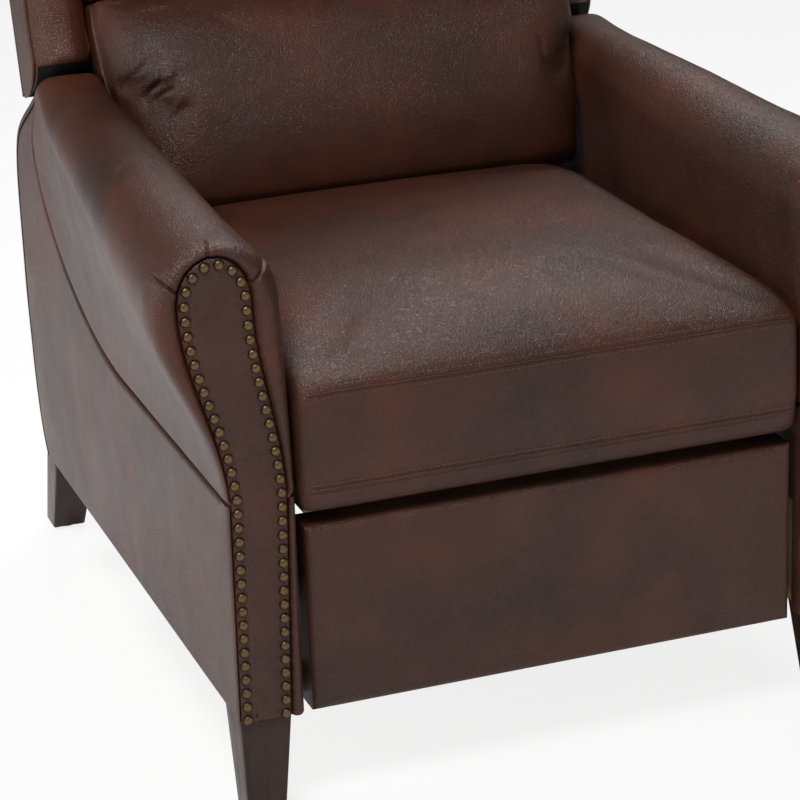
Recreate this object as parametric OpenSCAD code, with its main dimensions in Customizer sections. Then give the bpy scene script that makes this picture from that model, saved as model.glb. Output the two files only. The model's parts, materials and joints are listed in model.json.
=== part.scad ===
// Wingback push-back recliner with rolled arms, upright and closed at rest.
// The chair faces -Y, +Z is up, and left and right are the sitter's: left is +X.
// Places along Y are measured backwards from the face of the footrest panel. at_front() moves
// them so that the origin lies on the floor, in the middle of the box round the whole chair.

/* [Overall size] */
// Width across the two flat outer sides
body_w = 698; // [670:1:730]
// Height of the back above the floor
chair_h = 1050; // [1020:1:1090]
// Height of the body above the floor, which the legs and glides fill
leg_h = 110; // [100:1:118]

/* [Arms] */
// Thickness of an arm between its inner and outer faces
arm_w = 72; // [68:1:78]
// Height of the top of the arm roll
arm_h = 612; // [590:1:618]
// Height of the seam under the arm roll
roll_seam_h = 346; // [336:1:356]
// How far the arm roll hangs over the side at the front
roll_out = 66; // [50:1:75]
// How far the arm roll hangs over the side at its rear end
roll_out_rear = 34; // [25:1:45]
// Place of the rear end of the arm roll
roll_end = 745; // [735:1:750]
// Place of the rearmost point of the flat side
side_end = 857; // [852:1:862]
// Thickness of the padded panels on each face of an arm
panel_t = 12; // [10:0.5:14]
// Thickness of the plywood web in an arm
web_t = 18; // [15:1:22]
// Thickness of the keyhole panel on the front of an arm
facing_t = 9; // [8:0.5:12]
// How far the padded collar stands in front of the footrest face
collar_proud = 3; // [2:0.5:4]
// How far the keyhole panel stands in front of the footrest face
facing_proud = 5; // [3:0.5:6]
// How far the collar draws in towards the keyhole panel
collar_draw = 14; // [8:1:15]
// Place where the seam under the roll begins to climb
seam_turn = 400; // [380:5:420]
// Height of the seam at the rear end of the roll
roll_foot_h = 532; // [524:1:536]
// Place where the top of the roll begins to fall
roof_turn = 640; // [620:5:660]
// Height of the top of the roll above the seam at its rear end
roof_end = 13; // [8:1:18]
// Place where the roll begins to draw in at its rear end
tail_turn = 690; // [670:5:700]
// Height of the wooden core inside an arm roll
core_h = 500; // [470:5:520]
// Height of the lower edge of the inner arm panel
inner_foot_h = 236; // [232:1:250]
// Thickness of the padded band round the rear edge of an arm
band_t = 8; // [6:0.5:9]
// Width of the front post inside an arm
front_post_w = 55; // [40:5:70]
// Width of the rear post inside an arm
rear_post_w = 45; // [35:5:50]
// Height of the bottom rail inside an arm
sill_h = 40; // [30:5:50]

/* [Nailheads] */
// Diameter of a nailhead
nail_d = 11; // [9:0.5:12]
// Height of a nailhead's dome
nail_h = 3.5; // [2.5:0.1:4]
// Distance between neighbouring nailheads along their row
nail_pitch = 14.8; // [13:0.1:18]
// Distance from the row of nails to the edge of the keyhole panel
nail_margin = 6.5; // [6:0.1:7.5]
// Height of the lowest nails above the lower edge of the body
nail_foot = 5; // [3:1:10]
// Height at which the rows begin to spread
nail_waist_h = 349; // [340:1:355]
// Height at which the rows turn over
nail_head_h = 552; // [545:1:556]
// Height of the turn of the rows
nail_crown = 36; // [30:1:38]
// Distance of the outer row's foot inside the flat side
nail_out_foot = 9; // [8:0.5:11]
// Distance of the outer row's waist inside the flat side
nail_out_waist = 11; // [9:0.5:12]
// Distance of the outer row's head outside the flat side
nail_out_head = 30; // [24:1:32]
// Distance of the inner row's foot from the arm's inner face
nail_in_foot = 22.6; // [20:0.2:24]
// Distance of the inner row's waist from the arm's inner face
nail_in_waist = 15.5; // [15:0.5:18]
// Distance of the inner row's head from the arm's inner face
nail_in_head = 41; // [38:1:44]

/* [Legs] */
// Side of a leg at its top
leg_top = 50; // [44:1:54]
// Side of a leg at its foot
leg_foot = 40; // [32:1:44]
// How far a leg's top stands inside the flat side
leg_inset = 3; // [1:0.5:4]
// Place of the middle of a front leg's top
front_leg_y = 28; // [26:1:32]
// Place of the middle of a rear leg's top
rear_leg_y = 797; // [790:1:800]
// How far a rear leg rakes backwards
leg_rake = 50; // [30:1:52]
// How far a front leg's foot stands forward of its top
leg_forward = 10; // [0:1:12]
// Radius of a nylon glide
glide_r = 12; // [9:0.5:15]
// Thickness of a nylon glide
glide_t = 3; // [2:0.5:5]
// Radius of a leg bolt
leg_bolt_r = 4; // [3:0.5:5]
// Length of a leg bolt in the leg
bolt_down = 20; // [15:1:22]
// Length of a leg bolt in the arm frame
bolt_up = 38; // [25:1:39]

/* [Cross rails] */
// Thickness of the front cross rail
front_rail_t = 15; // [12:1:16]
// Width of the front cross rail
front_rail_w = 40; // [30:1:45]
// Place of the front cross rail
front_rail_y = 44; // [43:1:50]
// Thickness of the rear cross rail
rear_rail_t = 20; // [18:1:24]
// Height of the rear cross rail's section
rear_rail_w = 110; // [80:5:120]
// Place of the rear cross rail
rear_rail_y = 772; // [765:1:780]

/* [Seat] */
// Height of the deck that the seat cushion rests on
deck_h = 358; // [354:1:362]
// Height of the top front seam of the seat cushion
seat_seam_h = 454; // [445:1:460]
// How far the crown of the seat cushion stands above its top front seam
seat_crown = 43; // [30:1:46]
// Height of the underside of the cushion's front lip
seat_lip_h = 318; // [314:1:322]
// How far the seat cushion stands in front of the footrest face
seat_proud = 10; // [6:1:14]
// Place of the rear end of the seat cushion
seat_end = 640; // [625:1:645]
// Place of the rear end of the seat's frame
frame_end = 600; // [595:1:605]
// Thickness of the seat cushion's front lip
lip_t = 35; // [30:1:36]
// Thickness of the rails of the seat frame
seat_rail_t = 32; // [25:1:32]
// Width of a side rail of the seat frame
side_rail_w = 40; // [30:1:42]
// Height of the side rails of the seat frame
side_rail_h = 45; // [35:1:46]
// Height of the front rail of the seat frame
front_beam_h = 35; // [28:1:36]
// Distance between neighbouring seat springs
seat_spring_pitch = 80; // [60:5:90]
// How far the wire of a spring sways to each side
spring_reach = 20; // [15:1:25]
// Thickness of the spring wire
wire_d = 3.5; // [3:0.1:4]
// Gap between the seat cushion and the arm on each side
seat_gap = 2.5; // [1:0.5:6]
// How far the seat cushion's edges draw in at its two side faces
seat_round = 9; // [5:0.5:10]

/* [Footrest] */
// Height of the footrest panel's top edge
foot_top = 307; // [302:1:309]
// Height of the footrest panel's bottom edge
foot_bottom = 106; // [100:1:120]
// Thickness of the footrest, board and padding together
foot_t = 42; // [38:1:42]
// Thickness of the footrest board
foot_board_t = 15; // [12:1:18]
// Gap between the footrest and the arm on each side
foot_gap = 9; // [7:0.5:12]
// Thickness of the padding round the edge of the footrest board
foot_pad_t = 6; // [4:0.5:8]

/* [Back] */
// Tilt of the back from upright, in degrees
back_tilt = 15.4; // [14.5:0.1:16]
// Place of the back's rear plane at the height of the hinge
back_foot = 714; // [710:1:718]
// Place of the recline hinge
hinge_y = 640; // [636:1:644]
// Height of the recline hinge
hinge_h = 330; // [326:1:334]
// Thickness of the outside back panel
back_panel_t = 8; // [6:0.5:10]
// How far the back frame reaches below the hinge's height
back_drop = 28; // [24:1:30]
// Depth of the posts and rails of the back frame
post_d = 45; // [38:1:46]
// Width of a back post
post_w = 43; // [36:1:50]
// Gap between the back frame and the arm on each side
back_gap = 9; // [8:0.5:10]
// Width of the rails of the back frame
back_rail_w = 48; // [40:1:55]
// Depth of the lumbar cushion at its crown
lumbar_d = 205; // [180:1:207]
// How far the lumbar cushion's lower edge, in the back's rear plane, lies below the seat's crown
lumbar_low = 59; // [51:1:61]
// Distance up the back of the seam between the two back cushions
back_seam = 351; // [345:1:356]
// Gap between the lumbar cushion and the arm on each side
lumbar_gap = 5; // [3:0.5:8]
// Depth of the upper back cushion at its crown
upper_d = 176; // [150:1:190]
// Thickness of a wing
wing_w = 66; // [60:1:68]
// Depth of a wing at head height
wing_d = 132; // [120:1:145]
// How far the padding of a wing swells forward
wing_swell = 38; // [25:1:42]
// How far a wing's lower edge at the rear stands above the rear end of the arm roll
wing_over = 31; // [30:1:38]
// Thickness of the black lining under a wing
lining_t = 2; // [1.5:0.5:2]

/* [Mechanism] */
// Distance from the arm's inner face to the seat plate
plate_inset = 15; // [14:0.5:17]
// Thickness of the seat plates
plate_t = 4; // [3:0.5:4]
// Thickness of the link bars
bar_t = 4; // [3:0.5:4]
// Gap between neighbouring layers of bars
bar_gap = 2; // [1.8:0.1:2.4]
// Half of the width of a link bar
bar_r = 9; // [8.5:0.1:10]
// Radius of a link rivet
rivet_r = 4; // [3:0.25:4.5]
// Height of the slide rail above the floor
rail_z = 190; // [184:1:196]
// Height of the slide rail's section
rail_h = 36; // [32:1:40]
// Thickness of the slide rail's walls
rail_t = 3; // [2:0.5:4]
// Travel of the seat on its slide rails
seat_travel = 60; // [40:1:60]
// Radius of the torque tube between the rear links
tube_r = 10; // [8:0.5:11]
// Radius of a recline hinge bolt
hinge_r = 6; // [5:0.5:7]
// Thickness of a recline hinge bracket
bracket_t = 5; // [4:0.5:5]

/* [Hidden] */
$fn = 48;

// Clearances
fit_gap = 0.2;      // between pieces that lie face to face
soft_gap = 0.4;     // round a soft piece
pin_gap = 0.05;     // radial, round a rivet, pin or bolt
side_gap = 0.1;     // beside a rivet's head or spacer
slide_gap = 0.25;   // round a slide block
loop_gap = 1.5;     // radial, round the one rivet of each link loop that is left open
over = 20;          // how far a cutting shape runs past what it cuts

// Faces across the chair, from the middle outwards
half = body_w / 2;
arm_in = half - arm_w;
frame_in = arm_in + panel_t;
frame_out = half - panel_t;
seat_half = arm_in - seat_gap;
foot_half = arm_in - foot_gap;
back_half = arm_in - back_gap;
plate_out = arm_in - plate_inset;
board_half = half - wing_w;
layer_pitch = bar_t + bar_gap;
rail_out = plate_out - plate_t - 3 * layer_pitch - 2 * bar_gap;
rail_in = rail_out - side_rail_w;
leg_x = half - leg_inset - leg_top / 2;

// Heights and places along the chair
roof_end_h = roll_foot_h + roof_end;
back_len = (chair_h - hinge_h - back_panel_t * sin(back_tilt)) / cos(back_tilt);
chair_end = back_foot + back_len * sin(back_tilt);
front_y = (seat_proud - chair_end) / 2;
frame_front = facing_t - facing_proud + fit_gap;

// How the seam and the top of an arm roll curve, and where its sections stand
seam_rise_power = 1.6;
seam_end_power = 0.55;
seam_place_shares = [0, 0.2, 0.4, 0.58, 0.72, 0.84, 0.92, 0.97, 1];
collar_place_shares = [0, 0.24, 0.55, 1];
collar_draw_shares = [1, 0.55, 0.2, 0];
collar_inner_share = 0.35;
collar_depth = 21;

// Outline of the flat side behind the roll, as [place, height]
ear_front = [757, 560];
ear_back = [806, 536];
ear_pull = [832, 522];
shoulder_pull = [side_end, 500];
shoulder = [side_end, 430];
waist = [side_end, 330];
heel = [850, 240];
heel_pull = [846, 190];
toe_pull = [832, 132];
toe = [808, leg_h];

// Height of the top of the seat's frame, and of the rail under its flanges
deck_t = 5;
frame_top = deck_h - deck_t - wire_d - 2 * fit_gap;
rail_top = frame_top - plate_t - fit_gap;
beam_y = lip_t - seat_proud + soft_gap;

// Seat plates and the slide blocks on them
plate_front = 150;
plate_rear = 590;
plate_waist_h = 240;
block_places = [180, 500];
block_len = 60;
block_margin = 8;
rail_margin = 10;
rail_end = 650;

// Pivots of the footrest linkage with the chair closed, as [place, height]
rear_pivot = [215, 287];
front_pivot = [175, 306];
rear_joint = [330, 187];
cross_joint = [290, 204];
front_joint = [288, 171];
board_pivot = [66, 280];
guide_pivot = [52, 240];
tube_place = [270.3, 259];
bar_waist_share = 0.92;
lower_bar_share = 0.9;

// Rivets, bolts and screws
rivet_head_r = 7;
rivet_head_t = 1.4;
tube_wall = 2;
hinge_head_r = 11;
hinge_head_t = 4.5;
hinge_collar_r = 9;
hinge_nut_t = 6;
screw_r = 3;
screw_head_r = 6;
screw_head_t = 2.3;
screw_len = 14;
screw_places = [340, 620];

// Footrest brackets
flange_w = 28;
flange_foot = 150;
flange_top = 292;
bracket_foot = 225;
bracket_reach = 38;

// Back frame
back_margin = 30;
post_front = back_panel_t + fit_gap + post_d;
back_front = post_front + 2 * fit_gap + wire_d + soft_gap;
back_spring_shares = [0.2, 0.35, 0.57, 0.76];
corner_r = 40;
lumbar_from = (seat_seam_h + seat_crown - lumbar_low - hinge_h) / cos(back_tilt);
wing_from = (roof_end_h + wing_over - hinge_h) / cos(back_tilt);
pivot_d = (back_foot - hinge_y) * cos(back_tilt);
pivot_s = (hinge_y - back_foot) * sin(back_tilt);
bracket_r = 18;
bracket_top = 120;
wing_back = back_panel_t + fit_gap;
wing_len = back_len - wing_from;

module at_front() translate([0, front_y, 0]) children();
module side(s) mirror([s < 0 ? 1 : 0, 0, 0]) children();
module both() for (s = [-1, 1]) side(s) children();
// A flat shape drawn in Y and Z, as thick as t from x0 outwards
module in_side(x0, t) translate([x0, 0, 0]) rotate([90, 0, 90]) linear_extrude(t) children();
// A flat shape drawn in X and Z, reaching from y0 back by t
module in_front(y0, t) translate([0, y0 + t, 0]) rotate([90, 0, 0]) linear_extrude(t) children();
// A block between two corners
module block(a, b) translate(a) cube(b - a);
// A round bar along X, at a [place, height]
module pin(p, r, x0, x1) translate([x0, p[0], p[1]]) rotate([0, 90, 0]) cylinder(h = x1 - x0, r = r);
// The back's own axes: -Y forward from its rear plane, Z up along it
module on_back() at_front() translate([0, back_foot, hinge_h]) rotate([-back_tilt, 0, 0]) children();

// Curves
function mix(a, b, t) = a + (b - a) * t;
function tail(v) = [for (i = [1:len(v) - 1]) v[i]];
function turned(v) = [for (i = [len(v) - 1:-1:0]) v[i]];
function curve(a, b, c, d, n) = [
    for (i = [0:n]) let (t = i / n, u = 1 - t)
        u * u * u * a + 3 * u * u * t * b + 3 * u * t * t * c + t * t * t * d
];
function oval(c, r, a0, a1, n) = [
    for (i = [0:n]) let (a = mix(a0, a1, i / n)) c + [r[0] * cos(a), r[1] * sin(a)]
];
// A line of points moved sideways by d, to the right of its own direction
function shifted(p, d) = [
    for (i = [0:len(p) - 1])
        let (
            j = max(i, 1),
            k = min(i, len(p) - 2),
            a = (p[j] - p[j - 1]) / norm(p[j] - p[j - 1]),
            b = (p[k + 1] - p[k]) / norm(p[k + 1] - p[k]),
            t = (a + b) / (1 + a * b)
        )
        p[i] + d * [t[1], -t[0]]
];

// A closed solid through rings of equally many points
module skin(rings) {
    n = len(rings[0]);
    m = len(rings);
    polyhedron(
        points = [for (r = rings) for (p = r) p],
        faces = concat(
            [[for (j = [n - 1:-1:0]) j]],
            [for (i = [0:m - 2]) for (j = [0:n - 1]) let (k = (j + 1) % n)
                [i * n + j, i * n + k, (i + 1) * n + j]],
            [for (i = [0:m - 2]) for (j = [0:n - 1]) let (k = (j + 1) % n)
                [(i + 1) * n + j, i * n + k, (i + 1) * n + k]],
            [[for (j = [0:n - 1]) (m - 1) * n + j]]
        ),
        convexity = 4
    );
}

// The wavy strip of a sinuous spring, from the origin along +Y
module wave(length, reach, turns, wire) {
    steps = 8 * turns;
    path = [for (i = [0:steps]) [reach * sin(360 * turns * i / steps), length * i / steps]];
    slope = [for (i = [0:steps]) reach * cos(360 * turns * i / steps) * 2 * PI * turns / length];
    normal = [for (g = slope) [1, -g] / sqrt(1 + g * g)];
    polygon(concat(
        [for (i = [0:steps]) path[i] + normal[i] * wire / 2],
        [for (i = [steps:-1:0]) path[i] - normal[i] * wire / 2]
    ));
}

// Arms
function seam_at(y) =
    let (u = min(max((y - seam_turn) / (roll_end - seam_turn), 0), 1))
        mix(roll_seam_h, roll_foot_h, 1 - pow(1 - pow(u, seam_rise_power), seam_end_power));
function roof_at(y) =
    let (u = min(max((y - roof_turn) / (roll_end - roof_turn), 0), 1))
        mix(roof_end_h, arm_h, sqrt(1 - u * u));
function out_at(y) =
    let (u = min(max((y - tail_turn) / (roll_end - tail_turn), 0), 1))
        mix(roll_out, roll_out_rear, y / roll_end) * sqrt(1 - u * u);
seam_places = [for (t = seam_place_shares) mix(seam_turn, roll_end, t)];
function seam_line(from, gap) = [for (y = seam_places) if (y >= from) [y, seam_at(y) - gap]];
rear_edge = concat(
    [ear_front],
    curve(ear_back, ear_pull, shoulder_pull, shoulder, 6),
    curve(waist, mix(waist, heel, 0.5), mix(waist, heel, 0.8), heel, 2),
    tail(curve(heel, heel_pull, toe_pull, toe, 6))
);
function rear_line(gap) =
    let (p = shifted(rear_edge, gap)) concat(p, [[p[len(p) - 1][0], leg_h]]);

// The ring of points round an arm roll at place y, drawn in by d
function roll_ring(y, d) =
    let (
        z0 = seam_at(y),
        z1 = roof_at(y),
        o = out_at(y),
        e = d * collar_inner_share,
        r = min((arm_w + o) / 2, (z1 - z0) / 2),
        outer = oval([half + o - r, z1 - r], [r - d, r - d], -18, 90, 8),
        inner = oval([arm_in + r, z1 - r], [r - e, r - d], 90, 180, 7),
        rise = outer[0] - [half - d, z0],
        flank = curve(
            [half - d, z0], [half - d, z0] + [0.06 * rise[0], 0.43 * rise[1]],
            outer[0] - [0.2 * rise[0], 0.29 * rise[1]], outer[0], 5
        )
    )
    [for (p = concat([[arm_in + e, z0]], flank, tail(outer), inner)) [p[0], y, p[1]]];

nail_line = let (
        out_foot = [half - nail_out_foot, leg_h + nail_foot],
        out_waist = [half - nail_out_waist, nail_waist_h],
        out_head = [half + nail_out_head, nail_head_h],
        in_foot = [arm_in + nail_in_foot, leg_h + nail_foot],
        in_waist = [arm_in + nail_in_waist, nail_waist_h],
        in_head = [arm_in + nail_in_head, nail_head_h],
        rise = nail_head_h - nail_waist_h
    )
    concat(
        [out_foot],
        curve(out_waist, out_waist + [0.17 * nail_out_head, 0.4 * rise],
            out_head - [0, 0.36 * rise], out_head, 8),
        tail(oval((out_head + in_head) / 2, [(out_head[0] - in_head[0]) / 2, nail_crown],
            0, 180, 12)),
        tail(curve(in_head, in_head - [0, 0.36 * rise],
            in_waist + [0.08 * nail_in_head, 0.4 * rise], in_waist, 8)),
        [in_foot]
    );
function facing_outline(gap) =
    let (p = shifted(nail_line, gap))
        concat([[p[0][0], leg_h]], p, [[p[len(p) - 1][0], leg_h]]);

// Where the nails stand: evenly along their line
function run_of(p) = [
    for (i = 0, a = 0; i < len(p); a = a + (i < len(p) - 1 ? norm(p[i + 1] - p[i]) : 0), i = i + 1) a
];
function spot(p, run, t) =
    let (i = min(len([for (a = run) if (a <= t) a]), len(p) - 1) - 1)
        mix(p[i], p[i + 1], (t - run[i]) / (run[i + 1] - run[i]));
nail_run = run_of(nail_line);
nail_total = nail_run[len(nail_run) - 1];
nail_count = floor(nail_total / nail_pitch) + 1;
nail_spots = [
    for (i = [0:nail_count - 1]) spot(nail_line, nail_run, nail_total * i / (nail_count - 1))
];

module frame_outline() polygon(concat(
    [[frame_front, leg_h], [frame_front, core_h], [roof_turn, core_h],
        [roof_turn, seam_at(roof_turn) - fit_gap]],
    seam_line(roof_turn, fit_gap),
    rear_line(band_t + fit_gap)
));

module arm_frame(s) {
    color("tan") at_front() side(s) difference() {
        union() {
            in_side(frame_in, web_t) frame_outline();
            intersection() {
                in_side(frame_in, frame_out - frame_in - fit_gap) frame_outline();
                union() {
                    block([frame_in, 0, leg_h], [half, frame_front + front_post_w, core_h]);
                    block([frame_in, 0, leg_h], [half, side_end, leg_h + sill_h]);
                    block([frame_in, toe[0] - rear_post_w, leg_h], [half, toe[0], core_h]);
                }
            }
        }
        for (y = [front_leg_y, rear_leg_y - leg_bolt_r * 2])
            translate([leg_x, y, leg_h - over])
                cylinder(h = over + bolt_up + side_gap, r = leg_bolt_r + pin_gap);
        pin([hinge_y, hinge_h], hinge_r + pin_gap, frame_in - over, frame_in + web_t + over);
        for (y = screw_places)
            pin([y, rail_z + rail_h / 2], screw_r + pin_gap, frame_in - over, frame_in + screw_len);
    }
}

module arm_roll(s) {
    collar = [for (i = [0:3]) roll_ring(
        mix(-collar_proud, collar_depth - collar_proud, collar_place_shares[i]),
        collar_draw * collar_draw_shares[i]
    )];
    body = [for (y = concat([seam_turn * 0.3, seam_turn * 0.65], seam_places)) roll_ring(y, 0)];
    color("saddlebrown") at_front() side(s) difference() {
        skin(concat(collar, body));
        block(
            [frame_in - soft_gap, frame_front - soft_gap, roll_seam_h - over],
            [frame_out + soft_gap, roof_turn + soft_gap, core_h + soft_gap]
        );
        in_front(-over, over + frame_front) polygon(facing_outline(nail_margin + soft_gap));
    }
}

module inner_arm_panel(s) {
    strip_t = nail_in_waist - nail_margin - soft_gap;
    color("sienna") at_front() side(s) difference() {
        union() {
            in_side(arm_in, panel_t - fit_gap) polygon(concat(
                [[frame_front, inner_foot_h], [frame_front, roll_seam_h - fit_gap]],
                seam_line(seam_turn, fit_gap),
                [for (p = rear_line(band_t + fit_gap)) if (p[1] > inner_foot_h) p],
                [[heel[0] - band_t - 2 * soft_gap, inner_foot_h]]
            ));
            block(
                [arm_in, -collar_proud, leg_h],
                [arm_in + strip_t, frame_front + band_t, roll_seam_h - fit_gap]
            );
        }
        pin([hinge_y, hinge_h], hinge_collar_r + soft_gap, arm_in - over, frame_in + over);
    }
}

module outer_side_panel(s) {
    band = rear_edge;
    color("brown") at_front() side(s) union() {
        in_side(frame_out, panel_t) polygon(concat(
            [[frame_front, leg_h], [frame_front, roll_seam_h - fit_gap]],
            seam_line(seam_turn, fit_gap),
            [[roll_end + fit_gap, roof_end_h]],
            band
        ));
        in_side(arm_in, frame_out - arm_in) polygon(concat(band, turned(shifted(band, band_t))));
    }
}

module arm_front_panel(s) {
    color("sienna") at_front() side(s)
        in_front(-facing_proud, facing_t) polygon(facing_outline(nail_margin));
}

module nailhead() {
    rotate([90, 0, 0]) rotate_extrude($fn = 24) polygon(concat(
        [[0, 0]], oval([0, 0], [nail_d / 2, nail_h], 0, 90, 4)
    ));
}

module nailheads(s) {
    color("goldenrod") at_front() side(s) for (p = nail_spots)
        translate([p[0], -facing_proud, p[1]]) nailhead();
}

// Rails and legs
module front_cross_rail() {
    color("burlywood") at_front() block(
        [fit_gap - frame_in, front_rail_y, leg_h],
        [frame_in - fit_gap, front_rail_y + front_rail_w, leg_h + front_rail_t]
    );
}

module rear_cross_rail() {
    color("burlywood") at_front() block(
        [fit_gap - frame_in, rear_rail_y, leg_h],
        [frame_in - fit_gap, rear_rail_y + rear_rail_t, leg_h + rear_rail_w]
    );
}

function leg_ring(x, y, z, w) = [
    for (c = [[-1, -1], [1, -1], [1, 1], [-1, 1]]) [x + c[0] * w / 2, y + c[1] * w / 2, z]
];

module leg(s, y, foot_y) {
    color("#3b2a22") at_front() side(s) difference() {
        skin([
            leg_ring(leg_x + (leg_top - leg_foot) / 4, foot_y, glide_t + fit_gap, leg_foot),
            leg_ring(leg_x, y, leg_h - fit_gap, leg_top)
        ]);
        translate([leg_x, bolt_place(y), leg_h - bolt_down - side_gap])
            cylinder(h = bolt_down + over, r = leg_bolt_r + pin_gap);
    }
}
// A rear leg's bolt stands forward of the middle, so that the raked leg holds all of it
function bolt_place(y) = y > front_leg_y ? y - 2 * leg_bolt_r : y;

module leg_bolts() {
    color("silver") at_front() both() for (y = [front_leg_y, rear_leg_y])
        translate([leg_x, bolt_place(y), leg_h - bolt_down])
            cylinder(h = bolt_down + bolt_up, r = leg_bolt_r);
}

module leg_glides() {
    color("dimgray") at_front() both()
        for (y = [front_leg_y - leg_forward, rear_leg_y + leg_rake])
            translate([leg_x + (leg_top - leg_foot) / 4, y, 0]) cylinder(h = glide_t, r = glide_r);
}

// Slide rails of the seat
module base_rail(s) {
    rail_from = block_places[0] - seat_travel - rail_margin;
    x0 = plate_out + bar_gap;
    x1 = frame_in - fit_gap;
    color("slategray") at_front() side(s) difference() {
        block([x0, rail_from, rail_z], [x1, rail_end, rail_z + rail_h]);
        block(
            [x0 - over, rail_from - over, rail_z + rail_t],
            [x1 - rail_t, rail_end + over, rail_z + rail_h - rail_t]
        );
        for (y = screw_places) pin([y, rail_z + rail_h / 2], screw_r + pin_gap, x0, x1 + over);
    }
}

module rail_screws() {
    x0 = frame_in - fit_gap - rail_t - side_gap;
    color("silver") at_front() both() for (y = screw_places) {
        pin([y, rail_z + rail_h / 2], screw_r, x0, x0 + screw_len);
        pin([y, rail_z + rail_h / 2], screw_head_r, x0 - screw_head_t, x0);
    }
}

module back_hinge_bolts() {
    p = [hinge_y, hinge_h];
    x0 = back_half + soft_gap - side_gap;
    x1 = frame_in + web_t + side_gap;
    color("silver") at_front() both() {
        pin(p, hinge_head_r, x0 - side_gap - hinge_head_t, x0 - side_gap);
        pin(p, hinge_r, x0 - side_gap, x1 + hinge_nut_t);
        pin(p, hinge_collar_r, x0 + bracket_t + side_gap, frame_in - side_gap);
        pin(p, hinge_head_r, x1, x1 + hinge_nut_t);
    }
}

// Seat frame
module seat_plate(s) {
    color("steelblue") at_front() side(s) difference() {
        union() {
            block([plate_out - plate_t, plate_front, plate_waist_h], [plate_out, plate_rear, frame_top]);
            for (y = block_places) block(
                [plate_out - plate_t, y - block_margin, rail_z + rail_t],
                [plate_out, y + block_len + block_margin, frame_top]
            );
            block([rail_in, plate_front, frame_top - plate_t], [plate_out, plate_rear, frame_top]);
        }
        for (p = [rear_pivot, front_pivot]) pin(p, rivet_r + pin_gap, rail_out, plate_out + over);
    }
}

module slide_blocks() {
    color("white") at_front() both() for (y = block_places) block(
        [plate_out + side_gap, y, rail_z + rail_t + slide_gap],
        [frame_in - fit_gap - rail_t - slide_gap, y + block_len, rail_z + rail_h - rail_t - slide_gap]
    );
}

module seat_front_rail() {
    color("burlywood") at_front() block(
        [-plate_out, beam_y, frame_top - front_beam_h], [plate_out, beam_y + seat_rail_t, frame_top]
    );
}

module seat_rear_rail() {
    x = rail_in - fit_gap;
    color("burlywood") at_front() block(
        [-x, frame_end - seat_rail_t, rail_top - side_rail_h], [x, frame_end, frame_top]
    );
}

module seat_rail(s) {
    color("tan") at_front() side(s) block(
        [rail_in, beam_y + seat_rail_t + fit_gap, rail_top - side_rail_h],
        [rail_out, frame_end, rail_top]
    );
}

module seat_springs() {
    count = floor(rail_in / seat_spring_pitch);
    from = beam_y + wire_d;
    run = frame_end - wire_d - from;
    color("silver") at_front() for (i = [-count:count])
        translate([i * seat_spring_pitch, from, frame_top + fit_gap])
            linear_extrude(wire_d) wave(run, spring_reach, 6, wire_d);
}

module seat_deck() {
    color("lightgray") at_front() block(
        [-plate_out, beam_y, deck_h - deck_t], [plate_out, frame_end, deck_h]
    );
}

// The seat cushion's section at u of its half width, drawn in by d at its sides
seat_top_shares = [
    [0.04, 0.56], [0.1, 0.78], [0.2, 0.91], [0.35, 0.98], [0.48, 1], [0.62, 0.96], [0.75, 0.84],
    [0.87, 0.5], [1, -0.1]
];
seat_front_shares = [[0.5, 0], [0.9, 0.24], [1, 0.6], [0.75, 1]];
function seat_ring(u, d) =
    let (
        foot = deck_h + soft_gap,
        drop = 0.62 * pow(abs(u), 3),
        lip = lip_t - seat_proud
    )
    [for (p = concat(
        [[seat_end - d, foot], [lip, foot], [lip, seat_lip_h + d]],
        [for (q = seat_front_shares)
            [d - seat_proud * q[0], mix(seat_lip_h + d, seat_seam_h - d / 2, q[1])]],
        [for (q = seat_top_shares)
            [mix(d, seat_end - d, q[0]), seat_seam_h - d + seat_crown * q[1] * (1 - drop)]]
    )) [u * seat_half, p[0], p[1]]];
seat_ring_shares = [
    [-1, 1], [-0.985, 0.33], [-0.95, 0], [-0.8, 0], [-0.55, 0], [-0.25, 0], [0, 0]
];

module seat_cushion() {
    lows = [for (q = seat_ring_shares) seat_ring(q[0], q[1] * seat_round)];
    highs = [for (q = turned(seat_ring_shares)) if (q[0] < 0) seat_ring(-q[0], q[1] * seat_round)];
    color("saddlebrown") at_front() skin(concat(lows, highs));
}

// Footrest linkage
function layer(k) = plate_out - plate_t - k * layer_pitch;
module bar(p, q, r) {
    translate(p) circle(r);
    translate(q) circle(r);
    translate(p) rotate(atan2(q[1] - p[1], q[0] - p[0]))
        translate([0, -r * bar_waist_share]) square([norm(q - p), 2 * r * bar_waist_share]);
}
// A rivet through the pieces between x0 and x1, with a spacer between a and b
module rivet(p, x0, x1, a, b) {
    pin(p, rivet_r, x0 - side_gap - rivet_head_t, x1 + side_gap + rivet_head_t);
    pin(p, rivet_head_r, x0 - side_gap - rivet_head_t, x0 - side_gap);
    pin(p, rivet_head_r, x1 + side_gap, x1 + side_gap + rivet_head_t);
    pin(p, rivet_head_r, a + side_gap, b - side_gap);
}

module seat_pivot_rivets() {
    color("gold") at_front() both() {
        rivet(rear_pivot, layer(1), plate_out, layer(1) + bar_t, layer(0));
        rivet(front_pivot, layer(2), plate_out, layer(2) + bar_t, layer(0));
    }
}

module rear_links() {
    color("crimson") at_front() both() difference() {
        in_side(layer(1), bar_t) union() {
            bar(rear_pivot, rear_joint, bar_r);
            translate(tube_place) circle(tube_r + tube_wall);
        }
        for (p = [rear_pivot, rear_joint])
            pin(p, rivet_r + pin_gap, layer(1) - over, layer(0) + over);
    }
}

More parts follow.
